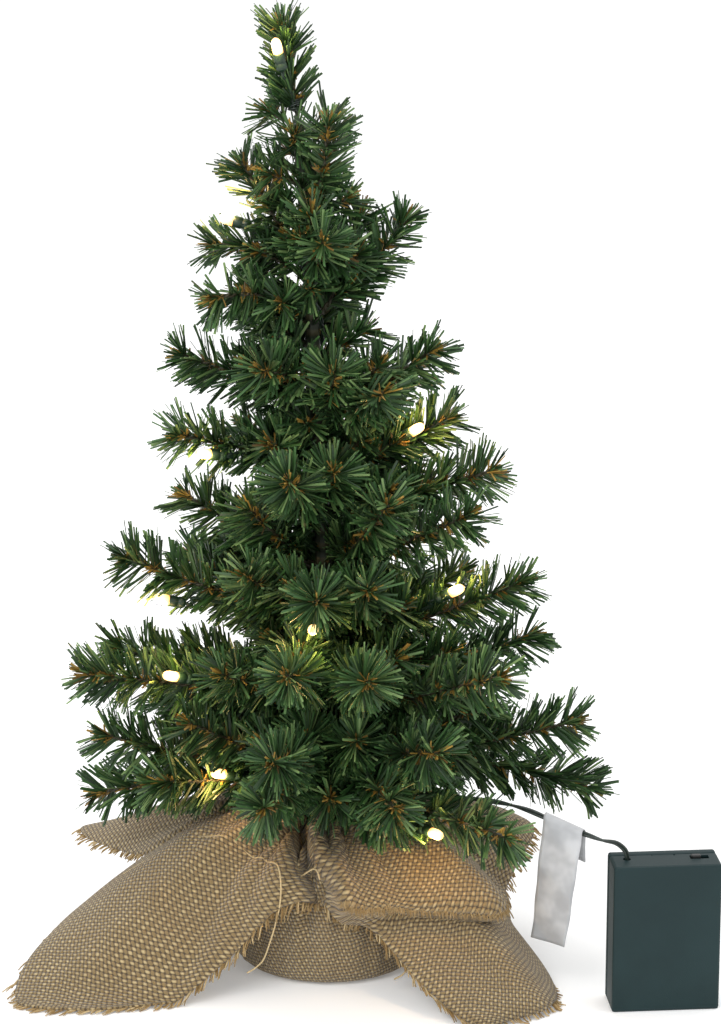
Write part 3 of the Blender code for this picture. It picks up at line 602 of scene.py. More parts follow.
def clear_of_lamps(roots, direction, size):
    """Which needles leave each lamp and the space in front of it open."""
    keep = np.ones(len(roots), bool)
    for start, end in CLEARINGS:
        for share in (0.45, 0.7, 1.0):
            at = roots + direction * size[:, None] * share
            t = np.clip((at - start) @ (end - start) / ((end - start) @ (end - start)), 0, 1)
            keep &= np.linalg.norm(at - start - t[:, None] * (end - start), axis=1) > 0.0044
    return keep


def brush(lines, seed, per_mm, start, lengths, lean, browns=1.0):
    """All the needles of a branch, with the twisted wire that holds them."""
    chance = np.random.default_rng(seed)
    points, triangles, shade, along_it, tint, done = [], [], [], [], [], 0
    needles = 0
    wires = []
    for first, last, bow in lines:
        long = (Vector(last) - Vector(first)).length
        end_t = 1 - min(TIP_NEEDLES / long, 0.4)
        from_t = min(start / long, 0.6 * end_t)
        for kind in ("green", "brown", "bud"):
            if kind == "green":
                t, turn, tilt = bunches(int(per_mm * 1000 * long * (end_t - from_t)), long, from_t / end_t, chance)
                count = len(t)
                size = chance.uniform(lengths[0], lengths[1], count)
                size *= np.interp(t, (from_t, min(from_t + 0.12, 0.9), 0.93, 1.0), (0.75, 1.0, 1.0, 0.75))
                lift = np.radians((lean + tilt) * np.interp(t, (0.85, 1.0), (1.0, 0.80)))
                width = NEEDLE_WIDTH * chance.uniform(0.75, 1.2, count)
                colour = np.zeros(count)
                t = t * end_t
            elif kind == "brown":
                # short brown strips sit in small rosettes a little way apart
                rosettes = max(1, int(browns * long * (end_t - from_t) / 0.0085))
                steps = np.arange(rosettes) + chance.uniform(0.3, 0.9, rosettes)
                places = from_t + (end_t - from_t) * steps / rosettes
                count = rosettes * 18
                t = np.repeat(places, 18) + chance.normal(0, 0.0012, count) / long
                turn = chance.uniform(0, 2 * math.pi, count)
                size = chance.uniform(0.0022, 0.0055, count)
                lift = np.radians(chance.normal(60, 24, count))
                width = NEEDLE_WIDTH * chance.uniform(0.5, 1.0, count)
                colour = np.ones(count)
            else:
                count = 26
                t = end_t - chance.random(count) * 0.0035 / long
                turn = chance.uniform(0, 2 * math.pi, count)
                size = chance.uniform(0.0045, 0.0085, count)
                lift = np.radians(np.abs(chance.normal(16, 15, count)))
                width = NEEDLE_WIDTH * chance.uniform(0.7, 1.0, count)
                colour = (chance.random(count) < 0.4).astype(float)
            t = np.clip(t, 0.01, 1.0)
            root = bent(first, last, bow, t)
            ahead = bent(first, last, bow, np.minimum(t + 0.01, 1.02)) - bent(first, last, bow, t - 0.01)
            ahead /= length_of(ahead)
            side = np.cross(ahead, (0.0, 0.0, 1.0)) + np.array((1e-6, 0, 0))
            side /= length_of(side)
            over = np.cross(side, ahead)
            out = side * np.cos(turn)[:, None] + over * np.sin(turn)[:, None]
            direction = ahead * np.cos(lift)[:, None] + out * np.sin(lift)[:, None]
            direction /= length_of(direction)
            open_to_lamps = clear_of_lamps(root, direction, size)
            root, direction, out, ahead = (rows[open_to_lamps] for rows in (root, direction, out, ahead))
            size, width, colour = size[open_to_lamps], width[open_to_lamps], colour[open_to_lamps]
            count = len(size)
            curl = ahead * chance.normal(0.03, 0.05, count)[:, None] + chance.normal(0, 0.025, (count, 3))
            p, f = strips(root + out * 0.0005, direction, size, width, curl, chance)
            points.append(p)
            triangles.append(f + done)
            done += len(p)
            needles += count
            shade.append(np.repeat(chance.random(count), 9))
            along_it.append(np.tile(np.repeat((0.0, 0.5, 1.0), 3), count))
            tint.append(np.repeat(colour, 9))
        steps = np.linspace(0, end_t, max(8, int(long / 0.0016)))
        core = bent(first, last, bow, steps)
        ahead = np.gradient(core, axis=0)
        ahead /= length_of(ahead)
        side = np.cross(ahead, (0.0, 0.0, 1.0)) + np.array((1e-6, 0, 0))
        side /= length_of(side)
        over = np.cross(side, ahead)
        twist = 2 * math.pi * steps * long / 0.0072
        off = side * np.cos(twist)[:, None] + over * np.sin(twist)[:, None]
        wires += [tube_rings(core + off * 0.00055 * sign, 0.00062, 5) for sign in (-1, 1)]
    corners, size = cells(needles)
    uv = corners[:, None, None] + (0.06 + 0.88 * STRIP_UV)[None] * size
    uv = uv.reshape(-1, 3, 2) * np.array((1.0, 0.93))
    columns = len(wires)
    all_uv = [uv]
    for i, (p, f, patch) in enumerate(wires):
        points.append(p)
        triangles.append(f + done)
        done += len(p)
        shade.append(np.full(len(p), 0.5))
        along_it.append(np.zeros(len(p)))
        tint.append(np.full(len(p), 2.0))
        turned = patch[:, :, ::-1] * np.array((1.0, 1 / columns)) + np.array((0.0, i / columns))
        all_uv.append(turned * np.array((0.98, 0.06)) + np.array((0.01, 0.935)))
    marks = {
        "shade": np.concatenate(shade), "along": np.concatenate(along_it), "tint": np.concatenate(tint),
    }
    return np.concatenate(points), np.concatenate(triangles), marks, np.concatenate(all_uv)


print("needles in a bunch:", BUNCH)

# %% Needle finish
needle_finish = Finish("needles", Roughness=0.5, IOR=1.46)
shade, along, tint = (needle_finish.mark(name) for name in ("shade", "along", "tint"))
green = needle_finish.node("ShaderNodeValToRGB", {"stops": (
    (0.0, rgb(22, 46, 20)), (0.35, rgb(36, 68, 30)), (0.7, rgb(58, 96, 46)), (1.0, rgb(114, 140, 84)),
)}, {"Fac": shade}).outputs["Color"]
brown = needle_finish.node("ShaderNodeValToRGB", {"stops": (
    (0.0, rgb(82, 62, 22)), (0.5, rgb(128, 98, 34)), (1.0, rgb(172, 140, 64)),
)}, {"Fac": shade}).outputs["Color"]
mottle = needle_finish.noise(420.0)
# painted shade: each needle is darkened towards its root, where it sits inside the brush
green = needle_finish.mix((1 - along) * 0.5, green, rgb(14, 30, 10))
green = needle_finish.mix(mottle.clear(0.55, 0.8) * 0.25, green, rgb(104, 134, 72))
leaf = needle_finish.mix(tint.clear(0.4, 0.6), green, brown)
needle_finish.paint(
    Base_Color=needle_finish.mix(tint.clear(1.4, 1.6), leaf, rgb(48, 46, 28)),
    Roughness=0.42 + mottle * 0.2,
)
print("needle finish ready")

# %% [markdown]
# ## Dressing every branch
# A long branch carries a fuller brush than a short one at the crown. Each piece rides on its own branch,
# so bending a branch carries its needles with it.

# %% Side twigs
# extra twigs that start from a branch's own root: (branch, angle, reach mm, rise degrees)
EXTRA_TWIGS = (
    ("left_top", 178, 34, 56), ("right_foot", 22, 96, 6), ("left_foot", 197, 92, 4),
    ("front_foot", 272, 64, -4), ("front_right_foot", 280, 56, -8), ("front_foot", 240, 70, -10),
)


def side_twigs(name, percent, tips):
    """Shorter twigs beside a branch's own tips, as the bundle of wires has them."""
    twigs = [(a, r, e) for n, a, r, e in EXTRA_TWIGS if n == name]
    if name == "crown_front":
        return twigs
    chance = np.random.default_rng(len(name) * 31 + int(percent * 10))
    first = min(tips, key=lambda tip: tip[2])
    for sign in (-1, 1):
        share = chance.uniform(0.50, 0.70)
        angle = first[0] + sign * chance.uniform(20, 34)
        twigs.append((angle, tips[0][1] * share, tips[0][2] + chance.uniform(4, 16)))
    return twigs


for name, percent, tips in BRANCHES:
    root = branch_root(percent, tips)
    LINES[name] = LINES[name] + [(root, tip_end(percent, twig), 0.0) for twig in side_twigs(name, percent, tips)]
print("tips with side twigs:", sum(len(lines) for lines in LINES.values()))

# %% Branches
needle_count = 0
for number, (name, lines) in enumerate(LINES.items()):
    leader = name == "leader"
    high = lines[0][0].z > 0.30
    made = brush(
        lines,
        seed=100 + number,
        per_mm=13.0 if leader else 8.0,
        start=0.003 if leader else 0.009,
        lengths=(0.0120, 0.0165) if leader or high else (0.0135, 0.0185),
        lean=50 if leader else 61,
    )
    piece = add_mesh(f"{name}_needles", *made)
    wear(piece, needle_finish)
    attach(piece, "leader" if leader else f"{name}_bough")
    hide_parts("leader_tip" if leader else f"branch_{name}")
    needle_count += len(made[0]) // 9
print("needles:", needle_count)

# %% [markdown]
# ## The trunk
# The trunk is the bundle of all the branch wires, wrapped in green tape, and short tufts of needles fill
# the space between the branches. That dark heart is what makes the tree look full.

# %% Trunk
chance = np.random.default_rng(5)
for number, (low, high) in enumerate(((0.02, 0.36), (0.36, 0.70), (0.70, 1.0))):
    heart_lines = [(trunk_centre(low), trunk_centre(high), 0.0)]
    twigs = 20
    for i in range(twigs):
        share = low + (high - low) * (i + 0.5) / twigs
        reach = chance.uniform(30, 44) * (1 - 0.42 * share)
        heart_lines.append((
            trunk_centre(share),
            tip_end(share * 100, (137.5 * i + 40 * number, reach, chance.uniform(14, 40))),
            0.0,
        ))
    heart = brush(
        heart_lines, seed=7 + number, per_mm=6.0, start=0.006, lengths=(0.0120, 0.0175), lean=60, browns=0.5
    )
    heart_piece = add_mesh(f"trunk_needles_{number + 1}", *heart)
    wear(heart_piece, needle_finish)
    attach(heart_piece, "root")
    print("heart of the tree:", len(heart[0]) // 9, "needles")

stem_finish = Finish("trunk_tape", Roughness=0.6)
height = stem_finish.height()
lap = (height * 900.0).maths("SINE")
# painted light: the tape is painted darker in the grooves between its laps and lighter on their raised middles,
# painted shade and painted highlight that follow the bump
stem_finish.paint(Base_Color=stem_finish.mix(lap.clear(-0.2, 0.9), rgb(30, 38, 22), rgb(62, 60, 36)))
stem_finish.bump(lap, 0.0002)
wear(frame["nodes"]["trunk_rod"], stem_finish)

# %% [markdown]
# ## The lamps
# Each lamp is a green holder with a clear moulded lens, held along its branch by the thin pair of wires
# that feeds it. The lens glows from within, and a small warm light beside it falls on the needles.

# %% Lamps and their wires
lamp_finish = Finish("lamp", Roughness=0.3)
lit = lamp_finish.mark("lit")
lamp_finish.paint(
    Base_Color=lamp_finish.mix(lit.clear(0.0, 0.2), rgb(20, 44, 28), rgb(255, 226, 170)),
    Emission_Color=lamp_finish.mix(
        lit.clear(0.0, 0.15), (0.0, 0.0, 0.0),
        lamp_finish.mix(lit.clear(0.2, 0.9), (0.75, 0.24, 0.03), (1.0, 0.68, 0.27)),
    ),
    Roughness=0.42 - lit * 0.3,
)
lamp_finish.shader.inputs["Emission Strength"].default_value = 2.4


def turned_part(profile, centre, axis, sides):
    path = [Vector(centre) + Vector(axis) * far for far, _ in profile]
    return tube_rings(path, [radius for _, radius in profile], sides)


for name, (carrier, line, at, turn, seat, lean, side, ahead) in SEATS.items():
    long = (line[1] - line[0]).length
    holder = (
        (0.0018, 0.0010), (0.0022, 0.0019), (0.0032, HOLDER_RADIUS), (0.0052, HOLDER_RADIUS),
        (0.0055, HOLDER_RADIUS * 0.9), (0.0060, HOLDER_RADIUS * 0.9), (0.0063, HOLDER_RADIUS),
        (HOLDER_LENGTH - 0.0003, HOLDER_RADIUS), (HOLDER_LENGTH, HOLDER_RADIUS * 0.93),
    )
    lens = (
        (HOLDER_LENGTH - 0.0006, LENS_RADIUS * 0.95), (HOLDER_LENGTH + 0.0010, LENS_RADIUS),
        (HOLDER_LENGTH + LENS_LENGTH * 0.55, LENS_RADIUS),
        (HOLDER_LENGTH + LENS_LENGTH * 0.78, LENS_RADIUS * 0.86),
        (HOLDER_LENGTH + LENS_LENGTH * 0.92, LENS_RADIUS * 0.58),
        (HOLDER_LENGTH + LENS_LENGTH, LENS_RADIUS * 0.16),
    )
    tail = []
    first = 0.0045 / long
    for i in range(9):
        t = first + (at - first) * i / 8
        beside, _ = brush_side(line, t, turn)
        tail.append(Vector(bent(*line, t)) + beside * (0.0026 + 0.0045 * (i / 8) ** 2))
    tail += [seat - ahead * 0.002, seat + lean * 0.0024]
    tail = smooth_route(tail, 0.0020)
    parts = [(*wire, {"lit": 0.0}) for wire in twin(tail, 0.00045, 0.00046, long * at / 0.030)]
    parts.append((*turned_part(holder, seat, lean, 14), {"lit": 0.0}))
    shine = np.repeat((0.2, 0.45, 1.0, 1.0, 0.7, 0.35), 14)
    parts.append((*turned_part(lens, seat, lean, 14), {"lit": np.append(shine, (0.2, 0.35))}))
    points, triangles, marks, uv = join_parts(parts)
    lamp = add_mesh(f"{name}_lit", points, triangles, marks, uv, smooth=True)
    wear(lamp, lamp_finish)
    body = "leader" if carrier == "leader" else f"{carrier}_bough"
    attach(lamp, body)
    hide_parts(name)
    glow = bpy.data.lights.new(f"{name}_glow", "POINT")
    glow.color = (1.0, 0.60, 0.22)
    glow.energy = 0.034
    glow.shadow_soft_size = 0.003
    light = bpy.data.objects.new(f"{name}_glow", glow)
    light.location = seat + lean * (HOLDER_LENGTH + LENS_LENGTH * 0.5) + side * 0.0045
    bpy.context.scene.collection.objects.link(light)
    light.parent = frame["bodies"][body]
print("lamps:", len(LAMPS))

# %% Light string round the trunk
STRING_TURNS, STRING_START = -4.125, 349.0
string_path = []
for i in range(181):
    share = 0.05 + 0.915 * i / 180
    off = trunk_radius(share) + 0.0009 + GAP + 0.0002
    string_path.append(trunk_centre(share) + around(STRING_START + 360 * STRING_TURNS * share) * off)
parts = [(*wire, {}) for wire in twin(string_path, 0.00050, 0.00046, 26)]
points, triangles, marks, uv = join_parts(parts)
string = add_mesh("trunk_wires", points, triangles, marks, uv, smooth=True)
wear(string, wire_finish)
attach(string, "root")
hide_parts("light_string")
print("string turns:", abs(STRING_TURNS))

# the last turns grip the foot of the leader
grip = []
for i in range(73):
    share = i / 72
    middle = bent(*LINES["leader"][0], 0.06 + 0.14 * share)
    grip.append(Vector(middle) + around(60 + 360 * 3.2 * share) * 0.0031 + UP * 0.0006 * math.sin(14 * share))
points, triangles, marks, uv = join_parts([(*wire, {}) for wire in twin(grip, 0.00050, 0.00046, 4)])
leader_turns = add_mesh("leader_turns", points, triangles, marks, uv, smooth=True)
wear(leader_turns, wire_finish)
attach(leader_turns, "leader")

# %% [markdown]
# ## The burlap
# One square of coarse burlap wraps the weight, is gathered and tied above it, and its corners flare out
# like petals. It is made as the cloth really lies: rings of points run from the middle of the underside up
# the sack, in to the neck, and out along the petals. Folds are waves that grow where the cloth is crowded.

# %% Burlap shape
# Sections of the flared cloth, each at an angle round the tree: from the tie outwards, six places given
# as (distance from the trunk, height) in millimetres. The last one is on the cut edge.
SECTIONS = (
    (-170, (20, 72), (36, 72), (58, 66), (81, 53), (102, 38), (121, 23)),
    (-156, (20, 72), (38, 73), (68, 62), (99, 38), (128, 14), (153, 1.2)),
    (-146, (20, 72), (36, 71), (59, 58), (84, 35), (108, 10), (131, 1.2)),
    (-138, (20, 71), (34, 70), (52, 58), (70, 38), (86, 16), (100, 1.4)),
    (-128, (20, 71), (32, 70), (45, 62), (57, 49), (67, 34), (74, 20)),
    (-114, (20, 70), (29, 70), (38, 66), (47, 58), (53, 49), (57, 40)),
    (-97, (20, 70), (28, 70), (36, 66), (44, 59), (50, 51), (53, 45)),
    (-80, (20, 71), (32, 69), (46, 60), (57, 46), (53, 38), (50, 33)),
    (-64, (21, 72), (36, 69), (51, 58), (62, 45), (55, 36), (58, 28)),
    (-54, (22, 72), (40, 68), (57, 57), (69, 44), (62, 34), (110, 1.4)),
    (-46, (22, 72), (44, 68), (65, 56), (79, 44), (71, 34), (117, 1.2)),
    (-36, (24, 72), (48, 69), (76, 56), (93, 43), (84, 33), (121, 1.2)),
    (-22, (22, 71), (40, 69), (62, 59), (80, 43), (86, 26), (108, 1.4)),
    (-8, (20, 71), (32, 71), (48, 64), (62, 52), (74, 38), (84, 24)),
    (8, (20, 71), (32, 72), (48, 66), (64, 56), (78, 46), (88, 38)),
    (24, (20, 72), (36, 74), (56, 69), (76, 60), (92, 52), (104, 46)),
    (40, (20, 71), (32, 72), (48, 67), (64, 60), (78, 54), (88, 50)),
    (62, (20, 70), (28, 71), (36, 67), (44, 60), (50, 52), (56, 44)),
    (88, (20, 70), (28, 71), (36, 66), (43, 58), (48, 50), (52, 42)),
    (114, (20, 70), (28, 71), (37, 67), (46, 61), (54, 53), (62, 45)),
    (134, (20, 71), (34, 72), (52, 66), (70, 57), (84, 48), (97, 42)),
    (150, (20, 72), (38, 74), (64, 68), (92, 57), (116, 46), (137, 38)),
    (164, (20, 71), (32, 72), (50, 67), (68, 57), (84, 48), (98, 39)),
    (177, (20, 71), (30, 72), (43, 66), (56, 57), (68, 48), (78, 40)),
)
CORNERS = (-156, -40, 24, 150)
# where the petals lie smooth: angle, half width
CALM = ((-150, 30), (-112, 22), (-76, 26), (-40, 30), (24, 20), (150, 18))
SACK_ROWS, FLARE_ROWS, AROUND = 40, 46, 540


def spline(values, places):
    """The Catmull-Rom curve through rows of values, at places counted in rows from the first."""
    values = np.asarray(values, float)
    last = len(values) - 1
    i = np.clip(np.floor(places).astype(int), 0, last - 1)
    t = (places - i)[:, None]
    b, c = values[i], values[i + 1]
    a = np.where((i > 0)[:, None], values[np.maximum(i - 1, 0)], 2 * b - c)
    d = np.where((i + 2 <= last)[:, None], values[np.minimum(i + 2, last)], 2 * c - b)
    return (2 * b + (c - a) * t + (2 * a - 5 * b + 4 * c - d) * t * t + (3 * b - a - 3 * c + d) * t**3) / 2


def fold_wave(angles):
    """Uneven folds round the gathered cloth, from -1 to 1."""
    a = np.radians(angles)
    main = 0.66 * np.sin(23 * a + 0.7 + 0.9 * np.sin(2 * a))
    return main + 0.26 * np.sin(37 * a + 2.1) + 0.16 * np.sin(9 * a + 4.0)


def near_angle(angles, centre, width):
    """1 at an angle, falling smoothly to 0 a width away from it."""
    return np.exp(-((((angles - centre + 180) % 360 - 180) / width) ** 2))


def sack_profile():
    """Radius, height and how much the folds show, from the middle of the underside to the neck."""
    out = WEIGHT_RADIUS + CLOTH + CLOTH_EASE
    return np.array((
        (0.004, 0.0004, 0.0), (0.020, 0.0004, 0.0), (WEIGHT_RADIUS - WEIGHT_CHAMFER, 0.0006, 0.0),
        (out - 0.0030, 0.0018, 0.04), (out - 0.0018, 0.0050, 0.16), (out - 0.0012, 0.0130, 0.34),
        (out - 0.0010, 0.0240, 0.52), (out - 0.0012, 0.0340, 0.70), (out - 0.0018, 0.0430, 0.84),
        (out - 0.0036, 0.0495, 0.94), (out - 0.0095, 0.0530, 1.0), ((out + NECK_RADIUS) / 2, 0.0550, 1.0),
        (NECK_RADIUS + 0.0050, NECK - 0.0032, 0.95), (NECK_RADIUS + 0.0004, NECK - 0.0016, 0.9),
        (NECK_RADIUS - 0.0004, NECK, 0.9), (NECK_RADIUS + 0.0004, NECK + 0.0016, 0.9),
    ))


def outward(profile):
    """The direction out of the cloth at each row, in distance and height."""
    along = np.gradient(profile, axis=0)
    along /= length_of(along)
    return np.stack([along[..., 1], -along[..., 0]], -1)


ring = np.arange(AROUND) * 360 / AROUND - 180
wave = fold_wave(ring)
profile = sack_profile()
gone = np.concatenate([[0], np.cumsum(np.linalg.norm(np.diff(profile[:, :2], axis=0), axis=1))])
sack = np.stack([np.interp(np.linspace(0, gone[-1], SACK_ROWS), gone, profile[:, k]) for k in range(3)], 1)
facing = outward(sack[:, :2])
upper = np.clip((sack[:, 1:2] - 0.046) / 0.007, 0, 1)      # the pleats hidden on top of the weight
pleats = wave + 0.5 * np.sin(np.radians(53 * ring) + 1.0) * upper
lift = (0.0020 + 0.0030 * upper) * sack[:, 2:3] * (1 + pleats)
lift -= 0.0056 * np.clip((0.022 - sack[:, :1]) / 0.006, 0, 1) * (sack[:, 1:2] > 0.03)
# one deep fold runs down the front of the sack
lift -= 0.0022 * sack[:, 2:3] * near_angle(ring, -104, 5) - 0.0012 * sack[:, 2:3] * near_angle(ring, -115, 7)
sack_rz = sack[:, None, :2] + facing[:, None] * lift[..., None]

table = sorted(SECTIONS)
table = [(table[-1][0] - 360, *table[-1][1:]), *table, (table[0][0] + 360, *table[0][1:])]
neck_point = (NECK_RADIUS * 1000 + 0.4, NECK * 1000 + 1.6)
shapes = np.array([(neck_point, *row[1:]) for row in table]).reshape(len(table), -1) * MM
shapes = spline(shapes, np.interp(ring, [row[0] for row in table], np.arange(len(table)))).reshape(AROUND, 7, 2)
flare_rz = np.stack([spline(shape, np.linspace(0, 6, FLARE_ROWS + 1)[1:]) for shape in shapes], 1)
flare_far = np.cumsum(length_of(np.diff(flare_rz, axis=0, prepend=shapes[None, :, 0])), axis=0)[..., 0]
flat_rz = flare_rz
facing = outward(flare_rz)
# The petals are drawn out nearly smooth, and the cloth between them is crowded into deep folds.
calm = np.clip(1.2 * sum(near_angle(ring, centre, width) for centre, width in CALM), 0, 1)
depth = 0.0045 * np.exp(-flare_far / 0.010)
depth = depth + 0.0075 * np.exp(-(((flare_far - 0.016) / 0.020) ** 2)) * (1 - 0.70 * calm)
depth += 0.0074 * np.exp(-(((flare_far - 0.045) / 0.035) ** 2)) * (1 - 0.95 * calm) + 0.0006
swell = 0.0020 * np.sin(np.radians(ring * 5) + 1.3)[None] * np.clip(flare_far / 0.05, 0, 1)
# a valley between the two front petals, and the turned edge of the right one standing proud of it
turned_edge = -116 + 640 * np.minimum(flare_far, 0.050)
upper_part = np.clip(flare_far / 0.015, 0, 1) * np.clip((0.066 - flare_far) / 0.014, 0, 1)
valley = near_angle(ring, turned_edge - 11, 7) * upper_part * 0.0125
proud = near_angle(ring, turned_edge + 3, 6) * upper_part * 0.0050
valley += near_angle(ring, -134, 9)[None] * np.exp(-(((flare_far - 0.034) / 0.010) ** 2)) * 0.0060
flare_rz = flare_rz + facing * (depth * wave[None] + swell + valley - proud)[..., None]
flare_rz[..., 1] = np.maximum(flare_rz[..., 1], 0.0012 + 0.0003 * np.sin(np.radians(ring * 7)))
directions = np.stack([np.cos(np.radians(ring)), np.sin(np.radians(ring)), np.zeros(AROUND)], 1)
every_rz = np.concatenate([sack_rz, flare_rz])
every_rz[..., 1] = np.maximum(every_rz[..., 1], 0.0004)
cloth_rows = directions[None] * every_rz[..., :1] + np.array((0, 0, 1.0)) * every_rz[..., 1:]
rows, count = cloth_rows.shape[:2]
gone = np.vstack([np.zeros(count), np.cumsum(np.linalg.norm(np.diff(cloth_rows, axis=0), axis=2), axis=0)])
i, k = (g.ravel() for g in np.meshgrid(np.arange(rows - 1), np.arange(count), indexing="ij"))
n = (k + 1) % count
a, b, c, d = i * count + k, i * count + n, (i + 1) * count + n, (i + 1) * count + k
cloth_triangles = np.concatenate([np.stack([a, b, c], 1), np.stack([a, c, d], 1)])
cloth_points = np.vstack([cloth_rows.reshape(-1, 3), [0, 0, 0.0004]])
fan = np.arange(count)
cloth_triangles = np.concatenate([
    cloth_triangles, np.stack([np.full(count, len(cloth_points) - 1), (fan + 1) % count, fan], 1)
])
area = np.linalg.norm(np.cross(
    cloth_points[cloth_triangles[:, 1]] - cloth_points[cloth_triangles[:, 0]],
    cloth_points[cloth_triangles[:, 2]] - cloth_points[cloth_triangles[:, 0]],
), axis=1)
sack_share = area[: 2 * (rows - 1) * count].reshape(2, rows - 1, count)[:, : SACK_ROWS].sum() / 2
print("burlap area:", round(float(area.sum() / 2), 4), "square metres, sack", round(float(sack_share), 4))

# %% [markdown]
# ### Threads at the right size
# The weave has to run straight over each petal, however the cloth is folded, so every point of the mesh
# carries its place along the two sets of threads. On the sack these are the height and the way round, and
# on a petal they run square to its two cut edges.

# %% Burlap piece
angles = np.radians(ring)
corners_at = np.radians(np.array(CORNERS))
off = (angles[:, None] - corners_at[None] + math.pi) % (2 * math.pi) - math.pi
nearest = np.abs(off).argmin(axis=1)
off = off[np.arange(count), nearest]
height = cloth_rows[..., 2]
sack_u = angles[None] * 0.0455 + 0.35 * height
sack_v = height - 0.0046 * angles[None]
far = np.vstack([np.zeros((SACK_ROWS, count)), flare_far])
across = np.vstack([sack_rz[..., 0] * 0, flat_rz[..., 0]]) * np.sin(off)[None]
on_sack = (np.arange(rows) < SACK_ROWS)[:, None]
thread_u = np.where(on_sack, sack_u, (far + across) * math.sqrt(0.5))
thread_v = np.where(on_sack, sack_v, (far - across) * math.sqrt(0.5))
marks = {
    "thread_u": np.append(thread_u.ravel(), 0.0),
    "thread_v": np.append(thread_v.ravel(), 0.0),
}
uv_ring = np.stack([np.cos(angles), np.sin(angles)], 1)
spread = (gone / gone.max(axis=0).max())[:, :, None] * uv_ring[None] * 0.49 + 0.5
uv_points = np.vstack([spread.reshape(-1, 2), [0.5, 0.5]])
burlap = add_mesh("burlap_cloth", cloth_points, cloth_triangles, marks, uv_points[cloth_triangles], smooth=True)
shell = burlap.modifiers.new("cloth", "SOLIDIFY")
shell.thickness = 0.0011
shell.offset = -1.0
print("points in the cloth:", len(cloth_points))

# %% Burlap finish
THREAD = 0.0017


def weave(u, v, pitch):
    """Height of a plain weave: threads along u and v that pass over and under each other."""
    a, b = u * (math.pi / pitch), v * (math.pi / pitch)
    row = (a / math.pi).maths("FLOOR")
    column = (b / math.pi).maths("FLOOR")
    even = ((row + column) * math.pi).maths("COSINE")          # 1 or -1, turn by turn
    round_u = (a.maths("SINE")).maths("ABSOLUTE")               # across a thread that runs along v
    round_v = (b.maths("SINE")).maths("ABSOLUTE")
    over_v = (round_u ** 0.7) * (0.5 + round_v * even * 0.5)
    over_u = (round_v ** 0.7) * (0.5 - round_u * even * 0.5)
    return over_u.maths("MAXIMUM", over_v), over_u, over_v


def burlap_look(finish):
    u, v = finish.mark("thread_u"), finish.mark("thread_v")
    wander = finish.noise(60.0, 2.0)
    fine = finish.noise(300.0, 4.0)
    u, v = u + (wander - 0.5) * 0.0030 + (fine - 0.5) * 0.0004, v + (fine - 0.5) * 0.0010 + (wander - 0.5) * 0.0020
    height, over_u, over_v = weave(u, v, THREAD)
    fibre = finish.noise(2600.0, 3.0, 0.7)
    # each thread keeps a tone of its own for a few centimetres
    threads = [
        finish.noise(1.0, 2.0, at=finish.node("ShaderNodeCombineXYZ", {}, {"X": x, "Y": y}).outputs["Vector"])
        for x, y in ((u * 25, v * 600 + 7), (v * 25, u * 600))
    ]
    tone = threads[0] * over_v + threads[1] * over_u
    slub = finish.noise(130.0, 3.0)
    # painted shade: the gaps between the threads, where the weave is low, are painted dark brown as if in shade
    gap_shade = 1 - height.clear(0.30, 0.62)
    # painted light: top gives the crowns of the threads along v a painted highlight and the threads along u a
    # little painted shade, so that the stitches read as rows
    top = (over_v - 0.55) * 0.7 - over_u * 0.12
    light = finish.mix((slub * 0.6 + tone * 0.9 + top).clear(0.42, 1.25), rgb(132, 111, 70), rgb(197, 177, 132))
    light = finish.mix(fibre.clear(0.5, 0.9) * 0.5, light, rgb(200, 181, 144))
    patch = finish.noise(22.0, 2.0)
    light = finish.mix(patch.clear(0.35, 0.7) * 0.35, light, rgb(138, 112, 70))
    finish.paint(Base_Color=finish.mix(gap_shade * 0.92, light, rgb(62, 46, 26)), Roughness=0.86 + fibre * 0.1)
    finish.bump(height + fibre * 0.18, 0.0011, 1.0)


burlap_finish = Finish("burlap", Sheen_Weight=0.25, Sheen_Roughness=0.6)
burlap_look(burlap_finish)
wear(burlap, burlap_finish)
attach(burlap, "root")
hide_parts("burlap_wrap")
print("burlap finish ready")

# %% [markdown]
# ### Frayed edges and loose threads
# Burlap is cut and not hemmed, so each thread that runs to the edge pokes out of it a little. The fringe
# is one piece of many short, thin threads, and a few long ones have come away and lie over the cloth.

# %% Fringe
STRAND_RADIUS, FIBRE_RADIUS = 0.00034, 0.00013
chance = np.random.default_rng(41)
edge = cloth_rows[-1]
inward = cloth_rows[-1] - cloth_rows[-4]
inward /= length_of(inward)
steps = np.linalg.norm(np.diff(np.vstack([edge, edge[:1]]), axis=0), axis=1)
around_edge = np.concatenate([[0], np.cumsum(steps)])
fringe_parts = []


def strand_of(at, out, size, radius, droop, shade):
    """One short thread: it starts inside the cloth and hangs a little towards its end."""
    path = np.array([at - out * 0.0015, at + out * size * 0.35, at + out * size * 0.7, at + out * size])
    path += np.array((0.0, 0.15, 0.5, 1.0))[:, None] * np.array((0, 0, -droop * size))
    path[:, 2] = np.maximum(path[:, 2], 0.0007)
    return (*tube_rings(path, (radius, radius, radius * 0.92, radius * 0.7), 4), {"shade": shade})


place = 0.0
while place < around_edge[-1]:
    at = np.array([np.interp(place, around_edge, np.append(edge[:, j], edge[0, j])) for j in range(3)])
    out = np.array([np.interp(place, around_edge, np.append(inward[:, j], inward[0, j])) for j in range(3)])
    out = out + chance.normal(0, 0.16, 3) * (1, 1, 0.3)
    size = chance.uniform(0.0020, 0.0052) * (1.4 if chance.random() < 0.25 else 1.0)
    for _ in range(3):      # each end is a few fibres that have opened out
        spread_out = out + chance.normal(0, 0.10, 3) * (1, 1, 0.4)
        spread_out /= length_of(spread_out)
        start = at + chance.normal(0, 0.00045, 3) * (1, 1, 0.3)
        length = size * chance.uniform(0.7, 1.1)
        fringe_parts.append(strand_of(start, spread_out, length, STRAND_RADIUS, 0.25, chance.random()))
    place += chance.uniform(0.0018, 0.0034)
